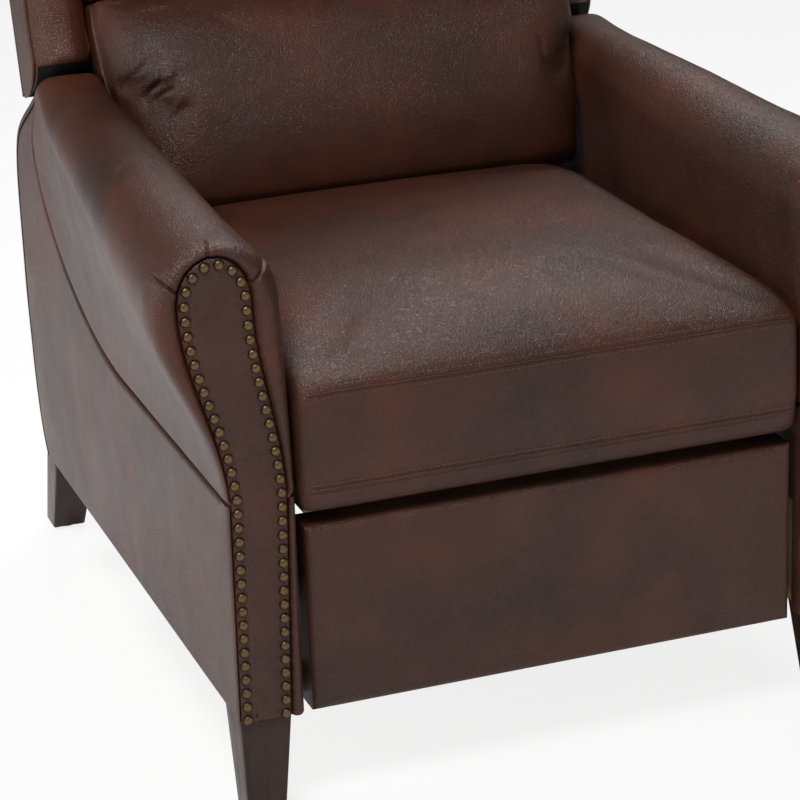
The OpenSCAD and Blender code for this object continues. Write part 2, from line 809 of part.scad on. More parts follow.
module torque_tube() {
    x = layer(1) - side_gap;
    color("darkred") at_front() difference() {
        pin(tube_place, tube_r, -x, x);
        pin(tube_place, tube_r - tube_wall, -x - over, x + over);
    }
}

module rear_link_rivets() {
    color("gold") at_front() both()
        rivet(rear_joint, layer(3), layer(1) + bar_t, layer(3) + bar_t, layer(1));
}

module front_links() {
    color("orange") at_front() both() difference() {
        in_side(layer(2), bar_t) union() {
            bar(front_pivot, front_joint, bar_r);
            bar(front_pivot, cross_joint, bar_r);
            bar(cross_joint, front_joint, bar_r);
        }
        for (p = [front_pivot, front_joint])
            pin(p, rivet_r + pin_gap, layer(2) - over, layer(0) + over);
        pin(cross_joint, rivet_r + loop_gap, layer(2) - over, layer(0) + over);
    }
}

module front_link_rivets() {
    color("gold") at_front() both()
        rivet(front_joint, layer(2), layer(1) + bar_t, layer(2) + bar_t, layer(1));
}

module upper_links() {
    color("seagreen") at_front() both() difference() {
        in_side(layer(3), bar_t) union() {
            bar(rear_joint, cross_joint, bar_r);
            bar(cross_joint, board_pivot, bar_r);
        }
        for (p = [rear_joint, cross_joint, board_pivot])
            pin(p, rivet_r + pin_gap, layer(3) - over, layer(0) + over);
    }
}

module upper_link_rivets() {
    color("gold") at_front() both() for (p = [cross_joint, board_pivot])
        rivet(p, layer(3), layer(2) + bar_t, layer(3) + bar_t, layer(2));
}

module lower_links() {
    color("royalblue") at_front() both() difference() {
        in_side(layer(1), bar_t) bar(front_joint, guide_pivot, bar_r * lower_bar_share);
        for (p = [front_joint, guide_pivot])
            pin(p, rivet_r + pin_gap, layer(1) - over, layer(0) + over);
    }
}

module lower_link_rivets() {
    color("gold") at_front() both()
        rivet(guide_pivot, layer(2), layer(1) + bar_t, layer(2) + bar_t, layer(1));
}

// Footrest
board_in = foot_half - foot_pad_t;

module footrest_board() {
    color("burlywood") at_front() block(
        [-board_in, foot_t - foot_board_t, foot_bottom + foot_pad_t],
        [board_in, foot_t, foot_top - foot_pad_t]
    );
}

function rounded_ring(y, w, z0, z1, r) = [
    for (c = [[1, 1, 0], [-1, 1, 90], [-1, -1, 180], [1, -1, 270]])
        for (p = oval(
            [c[0] * (w - r), c[1] > 0 ? z1 - r : z0 + r], [r, r], c[2], c[2] + 90, 4
        )) [p[0], y, p[1]]
];

module footrest_pad() {
    draw_shares = [[0, 1], [0.07, 0.4], [0.18, 0.08], [0.35, 0], [1, 0]];
    color("saddlebrown") at_front() difference() {
        skin([for (q = draw_shares) let (d = q[1] * foot_pad_t) rounded_ring(
            q[0] * foot_t, foot_half - d, foot_bottom + d, foot_top - d, 2 * foot_pad_t - d
        )]);
        block(
            [-board_in - soft_gap, foot_t - foot_board_t - soft_gap,
                foot_bottom + foot_pad_t - soft_gap],
            [board_in + soft_gap, foot_t + over, foot_top - foot_pad_t + soft_gap]
        );
    }
}

module footrest_brackets() {
    y0 = foot_t + fit_gap;
    color("teal") at_front() both() difference() {
        union() {
            block([layer(2) + bar_t - flange_w, y0, flange_foot],
                [layer(2) + bar_t, y0 + bar_t, flange_top]);
            in_side(layer(2), bar_t) polygon([
                [y0, bracket_foot], [y0, flange_top], [board_pivot[0] + bar_r, flange_top],
                [y0 + bracket_reach, mix(bracket_foot, flange_top, 0.75)],
                [guide_pivot[0] + bar_r, bracket_foot]
            ]);
        }
        pin(board_pivot, rivet_r + pin_gap, layer(2) - over, layer(0) + over);
        pin(guide_pivot, rivet_r + loop_gap, layer(2) - over, layer(0) + over);
        // Room for the rivet's head where it passes the flange
        pin(guide_pivot, rivet_head_r + loop_gap, layer(2) - flange_w, layer(2));
    }
}

// Back
// A block on the back: across, forward from its rear plane, and up along it
module back_block(x, d, s) on_back() block([x[0], -d[1], s[0]], [x[1], -d[0], s[1]]);
back_top = back_len - back_margin;

module back_post(k) {
    color("tan") side(k) back_block(
        [back_half - post_w, back_half], [post_front - post_d, post_front], [-back_drop, back_top]
    );
}

module back_rail(from) {
    x = back_half - post_w - fit_gap;
    back_block([-x, x], [post_front - post_d, post_front], [from, from + back_rail_w]);
}
module back_top_rail() color("burlywood") back_rail(back_top - back_rail_w);
module back_bottom_rail() color("burlywood") back_rail(bar_r);

module back_springs() {
    x = back_half - post_w / 2;
    color("silver") on_back() for (q = back_spring_shares)
        translate([-x, -post_front - fit_gap, back_top * q])
            rotate([90, 0, 0]) linear_extrude(wire_d) rotate(-90) wave(2 * x, spring_reach, 6, wire_d);
}

module outside_back_panel() {
    w = half - lining_t;
    corner = oval([w - corner_r, back_len - corner_r], [corner_r, corner_r], 0, 90, 6);
    right_side = concat(
        [[back_half, lining_t - back_drop], [back_half, wing_from], [w, wing_from]], corner
    );
    color("brown") on_back() rotate([90, 0, 0]) linear_extrude(back_panel_t) polygon(concat(
        right_side, [for (p = turned(right_side)) [-p[0], p[1]]]
    ));
}

// A back cushion's ring at height s, w to each side and d deep at its middle
pillow_edge_share = 0.5;
pillow_power = 3;
function pillow_ring(s, w, d) = concat(
    [[w, -back_front, s], [-w, -back_front, s]],
    [for (i = [-8:8]) let (u = sin(90 * i / 8)) [
        w * u,
        -back_front - d * mix(1, pillow_edge_share, pow(abs(u), pillow_power)),
        s
    ]]
);
// Each row: share of the cushion's height, of its depth and of its spread above the arms
lumbar_shares = [
    [0, 0.86, 0], [0.03, 0.93, 0], [0.14, 1, 0], [0.3, 1.01, 0], [0.48, 1.01, 0], [0.58, 1, 0],
    [0.64, 0.99, 1], [0.81, 0.92, 1], [0.91, 0.82, 0.95], [0.97, 0.72, 0.85], [1, 0.62, 0.75]
];
upper_shares = [
    [0, 0.76, 0.75], [0.06, 0.9, 0.9], [0.18, 1, 1], [0.4, 1, 1], [0.66, 0.94, 1], [0.82, 0.84, 0.9],
    [0.92, 0.7, 0.75], [0.98, 0.5, 0.5], [1, 0.36, 0.3]
];
// Between the arms a back cushion is narrower than between the wings above them
function pillow(from, to, d, shares) = [
    for (q = shares) pillow_ring(
        mix(from, to, q[0]), mix(arm_in - lumbar_gap, board_half - soft_gap, q[2]), d * q[1]
    )
];

module lumbar_cushion() {
    color("saddlebrown") on_back() skin(pillow(lumbar_from, back_seam, lumbar_d, lumbar_shares));
}

// The upper cushion's top is as high as the outside back panel behind it
upper_top = (
    chair_h - hinge_h - (back_front + upper_d * upper_shares[len(upper_shares) - 1][1]) * sin(back_tilt)
) / cos(back_tilt);

module upper_back_cushion() {
    color("peru") on_back() skin(pillow(back_seam + soft_gap, upper_top, upper_d, upper_shares));
}

// A wing's outline in shares of its depth and height, and how its padding swells across it
wing_bottom_shares = [[0, 0], [0.26, -0.004], [0.58, 0.014], [0.68, 0.076]];
wing_front_shares = [[0.68, 0.076], [0.47, 0.255], [1, 0.44], [1, 0.676]];
wing_top_shares = [[1, 0.676], [1, 0.87], [0.6, 0.965], [0, 0.968]];
wing_swell_shares = [[1, 0.32], [0.82, 0.79], [0.62, 1], [0.36, 0.84], [0.14, 0.37], [0, 0]];
lining_reach_share = 0.5;
function wing_curve(q, n) = curve(q[0], q[1], q[2], q[3], n);
wing_line = concat(
    wing_curve(wing_bottom_shares, 5),
    tail(wing_curve(wing_front_shares, 9)),
    tail(wing_curve(wing_top_shares, 6))
);
function wing_place(q, swell) = [
    wing_back + q[0] * (wing_d - wing_back + swell), wing_from + q[1] * wing_len
];

module wing(k) {
    color("saddlebrown") on_back() side(k) skin([
        for (r = wing_swell_shares) [
            for (q = wing_line) let (p = wing_place(q, wing_swell * r[1]))
                [half - r[0] * (wing_w - fit_gap), -p[0], p[1]]
        ]
    ]);
}

module wing_boards() {
    color("tan") both() back_block(
        [back_half + fit_gap, board_half - fit_gap], [post_front - post_d, post_front],
        [wing_from + lining_t, back_top]
    );
}

module wing_linings() {
    inner_gap = 2 * fit_gap;
    under = [
        for (q = wing_curve(wing_bottom_shares, 8)) if (q[0] < lining_reach_share)
            let (p = wing_place(q, wing_swell)) [-p[0], p[1]]
    ];
    color("black") on_back() both() in_side(board_half + lining_t, wing_w - 2 * lining_t)
        polygon(concat(
            shifted(under, -inner_gap), turned(shifted(under, -inner_gap - lining_t))
        ));
}

module back_hinge_brackets() {
    p = [-pivot_d, pivot_s];
    x0 = back_half + soft_gap - side_gap;
    root = [-post_front + post_d / 2, 0];
    color("slategray") on_back() both() difference() {
        in_side(x0, bracket_t) union() {
            bar(p, root, bracket_r);
            translate([-post_front, -back_drop + wire_d]) square([post_d - bar_t, bracket_top]);
        }
        pin(p, hinge_r + pin_gap, x0 - over, x0 + over);
    }
}

arm_frame(1);  // left_arm_frame
arm_frame(-1);  // right_arm_frame
arm_roll(1);  // left_arm_roll
arm_roll(-1);  // right_arm_roll
inner_arm_panel(1);  // left_inner_arm_panel
inner_arm_panel(-1);  // right_inner_arm_panel
outer_side_panel(1);  // left_outer_side_panel
outer_side_panel(-1);  // right_outer_side_panel
arm_front_panel(1);  // left_arm_front_panel
arm_front_panel(-1);  // right_arm_front_panel
nailheads(1);  // left_nailheads
nailheads(-1);  // right_nailheads
front_cross_rail();
rear_cross_rail();
leg(1, front_leg_y, front_leg_y - leg_forward);  // left_front_leg
leg(-1, front_leg_y, front_leg_y - leg_forward);  // right_front_leg
leg(1, rear_leg_y, rear_leg_y + leg_rake);  // left_rear_leg
leg(-1, rear_leg_y, rear_leg_y + leg_rake);  // right_rear_leg
leg_bolts();
leg_glides();
base_rail(1);  // left_base_rail
base_rail(-1);  // right_base_rail
rail_screws();
back_hinge_bolts();
seat_plate(1);  // left_seat_plate
seat_plate(-1);  // right_seat_plate
slide_blocks();
seat_front_rail();
seat_rear_rail();
seat_rail(1);  // left_seat_rail
seat_rail(-1);  // right_seat_rail
seat_springs();
seat_deck();
seat_cushion();
seat_pivot_rivets();
rear_links();
torque_tube();
rear_link_rivets();
front_links();
front_link_rivets();
upper_links();
upper_link_rivets();
lower_links();
lower_link_rivets();
footrest_board();
footrest_pad();
footrest_brackets();
back_post(1);  // left_back_post
back_post(-1);  // right_back_post
back_top_rail();
back_bottom_rail();
back_springs();
outside_back_panel();
lumbar_cushion();
upper_back_cushion();
wing(1);  // left_wing
wing(-1);  // right_wing
wing_boards();
wing_linings();
back_hinge_brackets();
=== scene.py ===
import json
import math
from types import SimpleNamespace

import bpy
import numpy as np
from bpy.props import FloatProperty, FloatVectorProperty, PointerProperty
from mathutils import Matrix, Vector, noise
from mathutils.bvhtree import BVHTree


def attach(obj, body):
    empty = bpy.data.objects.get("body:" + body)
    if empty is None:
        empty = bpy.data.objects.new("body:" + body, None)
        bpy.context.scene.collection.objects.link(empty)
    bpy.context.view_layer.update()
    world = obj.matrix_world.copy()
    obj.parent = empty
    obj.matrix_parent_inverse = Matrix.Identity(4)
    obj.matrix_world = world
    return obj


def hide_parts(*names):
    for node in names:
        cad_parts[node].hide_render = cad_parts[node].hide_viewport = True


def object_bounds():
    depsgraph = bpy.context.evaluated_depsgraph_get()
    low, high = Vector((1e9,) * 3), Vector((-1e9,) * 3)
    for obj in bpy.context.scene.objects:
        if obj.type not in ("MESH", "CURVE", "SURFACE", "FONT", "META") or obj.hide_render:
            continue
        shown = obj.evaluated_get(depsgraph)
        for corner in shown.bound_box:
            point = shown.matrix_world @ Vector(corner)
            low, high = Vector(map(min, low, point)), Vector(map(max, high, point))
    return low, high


bl_info = {
    "name": "Wingback recliner",
    "version": (1, 0, 0),
    "blender": (4, 5, 0),
    "location": "View3D > Sidebar > Recliner",
    "description": "Leather, wood and metal surfaces of a wingback push-back recliner",
    "category": "Add Mesh",
}

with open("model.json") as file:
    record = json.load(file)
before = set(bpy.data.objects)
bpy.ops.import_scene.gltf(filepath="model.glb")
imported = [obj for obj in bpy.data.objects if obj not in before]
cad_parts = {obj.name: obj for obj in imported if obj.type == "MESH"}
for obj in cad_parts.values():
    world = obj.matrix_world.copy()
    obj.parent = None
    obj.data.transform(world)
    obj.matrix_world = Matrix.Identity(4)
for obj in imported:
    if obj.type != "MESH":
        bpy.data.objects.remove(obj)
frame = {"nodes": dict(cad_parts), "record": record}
CAD_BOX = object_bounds()


# Sizes and colours that a user would change

def length(name, default, description):
    return FloatProperty(name=name, description=description, default=default, min=0.0, unit="LENGTH")


def share(name, default, description):
    return FloatProperty(name=name, description=description, default=default, min=0.0, max=1.0,
                         subtype="FACTOR")


def colour(name, default, description):
    return FloatVectorProperty(name=name, description=description, default=default, size=3, min=0.0,
                               max=1.0, subtype="COLOR")


class ReclinerSizes(bpy.types.PropertyGroup):
    body_width: length("Body width", 0.698, "Width across the two flat outer sides")
    chair_height: length("Chair height", 1.050, "Height of the back above the floor")
    leg_height: length("Leg height", 0.110, "Height of the body's lower edge above the floor")
    arm_width: length("Arm width", 0.072, "Thickness of an arm between its inner and outer faces")
    arm_height: length("Arm height", 0.612, "Height of the top of the arm roll")
    roll_seam: length("Roll seam height", 0.346, "Height of the seam under the arm roll")
    roll_out: length("Roll overhang", 0.066, "How far the roll hangs over the side at the front")
    roll_out_rear: length("Rear roll overhang", 0.002, "How far the roll hangs over at its rear end")
    roll_end: length("Roll end", 0.745, "Place of the rear end of the arm roll")
    seam_turn: length("Seam turn", 0.400, "Place where the seam under the roll begins to climb")
    roll_foot: length("Roll foot", 0.532, "Height of the seam at the rear end of the roll")
    roof_turn: length("Roof turn", 0.690, "Place where the top of the roll begins to fall")
    roof_end: length("Roof end", 0.606, "Height of the top of the roll at its rear end")
    arm_rise: length("Arm rise", 0.012, "How much higher the arm roll is at its rear end")
    end_lean: share("End lean", 0.53, "How far the rear end of the roll leans forward")
    tail_turn: length("Tail turn", 0.690, "Place where the roll begins to draw in")
    collar_bulge: length("Collar bulge", 0.0042, "How far the thinnest part of the collar stands out")
    facing_proud: length("Facing height", 0.005, "How far the keyhole panel stands out")
    nail_size: length("Nail diameter", 0.011, "Diameter of a nailhead")
    nail_pitch: length("Nail pitch", 0.0148, "Distance between neighbouring nailheads")
    nail_margin: length("Nail margin", 0.0065, "Distance from the nails to the panel's edge")
    seat_seam: length("Seat seam height", 0.454, "Height of the seat cushion's top front seam")
    seat_crown: length("Seat crown", 0.043, "How far the seat's crown stands above its front seam")
    seat_end: length("Seat end", 0.640, "Place of the rear end of the seat cushion")
    deck: length("Deck height", 0.358, "Height of the deck under the seat cushion")
    back_tilt: FloatProperty(name="Back tilt", description="Tilt of the back from upright",
                             default=math.radians(15.4), subtype="ANGLE")
    back_foot: length("Back foot", 0.714, "Place of the back's rear plane at the hinge's height")
    hinge_height: length("Hinge height", 0.330, "Height of the recline hinge")
    lumbar_depth: length("Lumbar depth", 0.205, "Depth of the lumbar cushion at its crown")
    upper_depth: length("Upper cushion depth", 0.176, "Depth of the upper cushion at its crown")
    back_seam: length("Back seam", 0.351, "Distance up the back of the seam between its cushions")
    wing_width: length("Wing width", 0.066, "Thickness of a wing")
    wing_foot: length("Wing foot", 0.2552, "Distance up the back of the wings' lower ends")
    wing_depth: length("Wing depth", 0.132, "Depth of a wing at head height")
    wing_swell: length("Wing swell", 0.038, "How far the padding of a wing swells forward")
    stitch_pitch: length("Stitch length", 0.0062, "Distance between neighbouring stitches")


class ReclinerColours(bpy.types.PropertyGroup):
    leather: colour("Leather", (0.047, 0.0150, 0.0084), "Main colour of the leather")
    leather_red: colour("Red patches", (0.084, 0.0215, 0.0095), "Warm patches of the leather")
    leather_dark: colour("Dark patches", (0.0145, 0.0070, 0.0048), "Dark cloudy patches of the leather")
    leather_worn: colour("Worn patches", (0.082, 0.037, 0.022), "Rubbed places of the leather")
    thread: colour("Thread", (0.20, 0.075, 0.042), "Sewing thread")
    brass: colour("Brass", (0.165, 0.098, 0.048), "Aged brass of the nails")
    brass_dark: colour("Brass patina", (0.012, 0.0075, 0.0045), "Dark patina of the nails")
    wood: colour("Leg wood", (0.036, 0.0145, 0.0078), "Espresso stain of the legs")
    frame_wood: colour("Frame wood", (0.50, 0.35, 0.20), "Bare wood of the frame")
    lamp_strength: FloatProperty(name="Lamp strength", description="Level of the studio lamps",
                                 default=1.0, min=0.0)
    surround: share("Surround", 0.11, "Brightness of the surround in reflections")


# Places on the chair. Across is x, back from the footrest's face is y, up is z

FRONT = CAD_BOX[0][1] + 0.010
# Where an arm roll begins to turn square and to lean forward, on the way to its rear end
SQUARE_FROM, LEAN_FROM = 0.56, 0.60
# Steps along each straight stretch and each bend of the nail line
NAIL_STEPS = 24


def measures():
    """The sizes of the panel, with the places that follow from them."""
    sizes = bpy.context.scene.recliner_sizes
    m = SimpleNamespace(**{key: getattr(sizes, key) for key in sizes.bl_rna.properties.keys()
                           if key not in ("rna_type", "name")})
    m.half = m.body_width / 2
    m.arm_in = m.half - m.arm_width
    m.wing_in = m.half - m.wing_width
    m.panel = 0.008
    upright = math.cos(m.back_tilt)
    m.back_len = (m.chair_height - m.hinge_height - m.panel * math.sin(m.back_tilt)) / upright
    m.lumbar_from = (m.seat_seam + m.seat_crown - 0.059 - m.hinge_height) / upright
    m.cushion_back = 0.0571
    m.seat_side = m.arm_in - 0.0025
    m.low_seam = 0.346
    return m


def on_chair(points):
    """Moves points whose y starts at the footrest's face to their place in the model."""
    moved = np.array(points, dtype=float)
    moved[..., 1] += FRONT
    return moved


def on_back(m, points):
    """Places points given as across, forward from the back's rear plane, and up along it."""
    p = np.array(points, dtype=float)
    c, s = math.cos(m.back_tilt), math.sin(m.back_tilt)
    x, d, t = p[..., 0], p[..., 1], p[..., 2]
    return np.stack([x, m.back_foot - d * c + t * s + FRONT, m.hinge_height + d * s + t * c], axis=-1)


def at_side(x, flat):
    """Points given along the chair and up, at one place across or at a place each."""
    return np.stack([np.broadcast_to(x, len(flat)), flat[:, 0], flat[:, 1]], axis=1)


def at_depth(y, flat):
    """Points given across and up, at one place along the chair or at a place each."""
    return np.stack([flat[:, 0], np.broadcast_to(y, len(flat)), flat[:, 1]], axis=1)


def bezier(a, b, c, d, count):
    t = np.linspace(0, 1, count + 1)[:, None]
    a, b, c, d = (np.array(v, dtype=float) for v in (a, b, c, d))
    return (1 - t) ** 3 * a + 3 * (1 - t) ** 2 * t * b + 3 * (1 - t) * t ** 2 * c + t ** 3 * d


def oval(centre, radii, start, end, count):
    a = np.radians(np.linspace(start, end, count + 1))
    return np.array(centre) + np.stack([radii[0] * np.cos(a), radii[1] * np.sin(a)], axis=1)


def chain(*parts):
    """Joins lines whose ends meet."""
    out = [np.atleast_2d(parts[0])]
    for part in parts[1:]:
        part = np.atleast_2d(part)
        out.append(part[1:] if np.allclose(part[0], out[-1][-1]) else part)
    return np.concatenate(out)


def shifted(line, distance):
    """Moves a flat line sideways, to the right of its own direction."""
    step = np.diff(line, axis=0)
    step /= np.linalg.norm(step, axis=1)[:, None]
    before = np.concatenate([step[:1], step])
    after = np.concatenate([step, step[-1:]])
    turn = (before + after) / (1 + np.sum(before * after, axis=1))[:, None]
    return line + distance * np.stack([turn[:, 1], -turn[:, 0]], axis=1)


def run_along(line):
    return np.concatenate([[0], np.cumsum(np.linalg.norm(np.diff(line, axis=0), axis=1))])


def spaced(line, shares):
    """Points of a line at shares of its length."""
    line = np.asarray(line, dtype=float)
    run = run_along(line)
    return np.stack([np.interp(np.asarray(shares) * run[-1], run, line[:, k])
                     for k in range(line.shape[1])], axis=1)


def smooth_table(table, at):
    """A smooth curve through a table of pairs, which never overshoots it."""
    x, y = np.array(table, dtype=float).T
    slope = np.diff(y) / np.diff(x)
    bend = np.zeros_like(x)
    for i in range(1, len(x) - 1):
        if slope[i - 1] * slope[i] > 0:
            bend[i] = 2 / (1 / slope[i - 1] + 1 / slope[i])
    bend[0], bend[-1] = slope[0], slope[-1]
    at = np.clip(np.asarray(at, dtype=float), x[0], x[-1])
    i = np.clip(np.searchsorted(x, at, side="right") - 1, 0, len(x) - 2)
    h = x[i + 1] - x[i]
    t = (at - x[i]) / h
    return ((2 * t ** 3 - 3 * t ** 2 + 1) * y[i] + (t ** 3 - 2 * t ** 2 + t) * h * bend[i]
            + (3 * t ** 2 - 2 * t ** 3) * y[i + 1] + (t ** 3 - t ** 2) * h * bend[i + 1])


def ripple(points, scale, seed=0.0):
    """Soft noise between -1 and 1 at each point, the same in every run."""
    flat = np.asarray(points, dtype=float).reshape(-1, 3) * scale + seed
    values = np.array([noise.noise(Vector(p)) for p in flat])
    return values.reshape(np.asarray(points).shape[:-1])


def ramp(value, start, span):
    """Goes from 0 at the start to 1 a span further on."""
    return np.clip((value - start) / span, 0, 1)


def soft_ramp(value, start, span):
    """A ramp that begins and ends level."""
    u = ramp(value, start, span)
    return u * u * (3 - 2 * u)


def seam_height(m, y):
    u = ramp(y, m.seam_turn, m.roll_end - m.seam_turn)
    return m.roll_seam + (m.roll_foot - m.roll_seam) * (1 - (1 - u ** 1.6) ** 0.55)


def roof_height(m, y):
    u = ramp(y, m.roof_turn, m.roll_end - m.roof_turn)
    level = m.arm_height + m.arm_rise * soft_ramp(y, 0.1, 0.5)
    return m.roof_end + (level - m.roof_end) * np.sqrt(1 - u * u)


def overhang(m, y):
    u = ramp(y, m.tail_turn, m.roll_end - m.tail_turn)
    return (m.roll_out + (m.roll_out_rear - m.roll_out) * y / m.roll_end) * np.sqrt(1 - u * u)


def roll_section(m, y, shares):
    """Across and up, from the inner seam over the roll's top to its outer seam, at one place."""
    low, top, out = float(seam_height(m, y)), float(roof_height(m, y)), float(overhang(m, y))
    square = soft_ramp(y, SQUARE_FROM, m.roll_end - SQUARE_FROM)
    r = min((m.arm_width + out) / 2, (top - low) / 2) * (1 - square) + 0.017 * square
    outer = oval((m.half + out - r, top - r), (r, r), 90, -18, 40)
    foot = np.array([m.half, low])
    rise = outer[-1] - foot
    flank = bezier(outer[-1], outer[-1] - rise * (0.2, 0.29), foot + rise * (0.06, 0.43), foot, 30)
    inner = oval((m.arm_in + r, top - r), (r, r), 180, 90, 40)
    straight = np.stack([np.full(24, m.arm_in), np.linspace(low, top - r, 24)], axis=1)
    return spaced(chain(straight, inner, outer, flank), shares)


def nail_line(m):
    """The line of the nails round an arm front, from its outer foot over the top to its inner foot."""
    waist, head, crown, fine = 0.349, 0.554, 0.0395, NAIL_STEPS
    rise = head - waist
    foot = m.leg_height + 0.005
    out_foot, out_waist, out_head = m.half - 0.009, m.half - 0.011, m.half + 0.030
    in_foot, in_waist, in_head = m.arm_in + 0.0226, m.arm_in + 0.0155, m.arm_in + 0.041
    return chain(
        np.linspace((out_foot, foot), (out_waist, waist), fine),
        bezier((out_waist, waist), (out_waist + 0.0051, waist + 0.4 * rise),
               (out_head, head - 0.36 * rise), (out_head, head), fine),
        oval(((out_head + in_head) / 2, head), ((out_head - in_head) / 2, crown), 0, 180, 2 * fine),
        bezier((in_head, head), (in_head, head - 0.36 * rise),
               (in_waist + 0.0033, waist + 0.4 * rise), (in_waist, waist), fine),
        np.linspace((in_waist, waist), (in_foot, foot), fine))


def rear_edge(m, fine=10):
    """Place and height along the rear edge of an arm, from the ear down to the rear leg."""
    side = 0.857
    return chain(
        np.linspace((0.7068, 0.6035), (0.757, 0.574), 6),
        bezier((0.757, 0.574), (0.775, 0.564), (0.792, 0.555), (0.806, 0.546), 6),
        bezier((0.806, 0.546), (0.833, 0.530), (side, 0.505), (side, 0.430), fine),
        np.linspace((side, 0.430), (side, 0.330), 6),
        bezier((side, 0.330), (side, 0.300), (0.853, 0.268), (0.850, 0.240), 8),
        bezier((0.850, 0.240), (0.846, 0.190), (0.832, 0.132), (0.808, m.leg_height), fine))


# Making meshes

def clear_selection():
    if bpy.context.object and bpy.context.object.mode != "OBJECT":
        bpy.ops.object.mode_set(mode="OBJECT")
    bpy.ops.object.select_all(action="DESELECT")


def make_active(obj):
    clear_selection()
    obj.select_set(True)
    bpy.context.view_layer.objects.active = obj


def edit_all(obj, *steps):
    """Runs edit mode steps on all of a piece."""
    make_active(obj)
    bpy.ops.object.mode_set(mode="EDIT")
    bpy.ops.mesh.select_all(action="SELECT")
    for step in steps:
        step()
    bpy.ops.object.mode_set(mode="OBJECT")


def apply_modifiers(obj):
    make_active(obj)
    for modifier in list(obj.modifiers):
        bpy.ops.object.modifier_apply(modifier=modifier.name)


def soften(obj, angle=35):
    make_active(obj)
    bpy.ops.object.shade_smooth_by_angle(angle=math.radians(angle))


def skin(name, rows, closed=True, capped=True, angle=35):
    """A grid wrapped over rows of points: closed joins its two long edges, capped fills its ends."""
    rows = np.asarray(rows, dtype=float)
    if closed:
        rows = np.concatenate([rows, rows[:, :1]], axis=1)
    count, width = rows.shape[:2]
    clear_selection()
    bpy.ops.mesh.primitive_grid_add(x_subdivisions=width - 1, y_subdivisions=count - 1, size=1)
    obj = bpy.context.object
    obj.name = obj.data.name = name
    if len(obj.data.vertices) != count * width:
        raise RuntimeError(f"{name}: the grid has {len(obj.data.vertices)} points")
    obj.data.vertices.foreach_set("co", rows.reshape(-1))
    obj.data.update()
    steps = [lambda: bpy.ops.mesh.remove_doubles(threshold=1e-6)]
    if capped:
        steps.append(lambda: bpy.ops.mesh.fill_holes(sides=0))
    steps.append(lambda: bpy.ops.mesh.normals_make_consistent(inside=False))
    edit_all(obj, *steps)
    soften(obj, angle)
    return obj


def thicken(obj, thickness):
    """Gives an open sheet a wall on its inner side."""
    wall = obj.modifiers.new("wall", "SOLIDIFY")
    wall.thickness = thickness
    wall.offset = -1
    apply_modifiers(obj)
    soften(obj)


def block(name):
    """A cube of one metre, its points to be placed."""
    clear_selection()
    bpy.ops.mesh.primitive_cube_add(size=1)
    obj = bpy.context.object
    obj.name = obj.data.name = name
    return obj


def ease_edges(obj, width, angle):
    """Rounds the sharp edges of a piece."""
    ease = obj.modifiers.new("eased", "BEVEL")
    ease.width, ease.segments, ease.limit_method, ease.angle_limit = width, 3, "ANGLE", math.radians(40)
    apply_modifiers(obj)
    soften(obj, angle)


def face_towards(obj, direction):
    """Turns an open sheet's faces over where most of them look away from a direction."""
    total = Vector((0, 0, 0))
    for face in obj.data.polygons:
        total += face.normal * face.area
    if total.dot(Vector(direction)) < 0:
        edit_all(obj, lambda: bpy.ops.mesh.flip_normals())


def points_of(obj):
    flat = np.empty(len(obj.data.vertices) * 3)
    obj.data.vertices.foreach_get("co", flat)
    return flat.reshape(-1, 3)


def set_points(obj, points):
    obj.data.vertices.foreach_set("co", np.asarray(points).reshape(-1))
    obj.data.update()


def mirrored(points, side):
    """Points for the left side, or their mirror image for the right one."""
    out = np.array(points, dtype=float)
    out[..., 0] *= side
    return out


def edge_rounding(distance, radius):
    """How far a padded face falls back at a distance from its edge."""
    near = np.clip(1 - distance / radius, 0, 1)
    return radius * (1 - np.sqrt(np.clip(1 - near * near, 0, 1)))


def distance_to(points, line):
    """Distance of flat points from a flat line."""
    p = np.asarray(points).reshape(-1, 1, 2)
    a, b = line[:-1][None], line[1:][None]
    run = b - a
    t = np.clip(np.sum((p - a) * run, axis=2) / np.maximum(np.sum(run * run, axis=2), 1e-12), 0, 1)
    gap = np.linalg.norm(p - a - t[..., None] * run, axis=2)
    return gap.min(axis=1).reshape(np.asarray(points).shape[:-1])


def welt(name, path, radius, sides=8):
    """A cord round a path, its ends filled."""
    path = np.asarray(path, dtype=float)
    heading = np.gradient(path, axis=0)
    heading /= np.linalg.norm(heading, axis=1)[:, None]
    up = np.array([0.3, 0.2, 0.93])
    rings = []
    for place, ahead in zip(path, heading):
        up = up - ahead * np.dot(up, ahead)
        up /= np.linalg.norm(up)
        across = np.cross(ahead, up)
        a = np.linspace(0, 2 * math.pi, sides, endpoint=False)
        rings.append(place + radius * (np.cos(a)[:, None] * up + np.sin(a)[:, None] * across))
    return skin(name, rings, angle=60)


def copies(name, shape, places, turns):
    """One mesh of many copies of a small shape, each turned and placed."""
    base = points_of(shape)
    faces = [list(face.vertices) for face in shape.data.polygons]
    points = np.concatenate([base @ np.asarray(turn).T + place for place, turn in zip(places, turns)])
    quads = [[v + k * len(base) for v in face] for k in range(len(places)) for face in faces]
    mesh = bpy.data.meshes.new(name)
    mesh.from_pydata(points.tolist(), [], quads)
    mesh.update()
    obj = bpy.data.objects.new(name, mesh)
    bpy.context.scene.collection.objects.link(obj)
    bpy.data.objects.remove(shape)
    soften(obj, 50)
    return obj


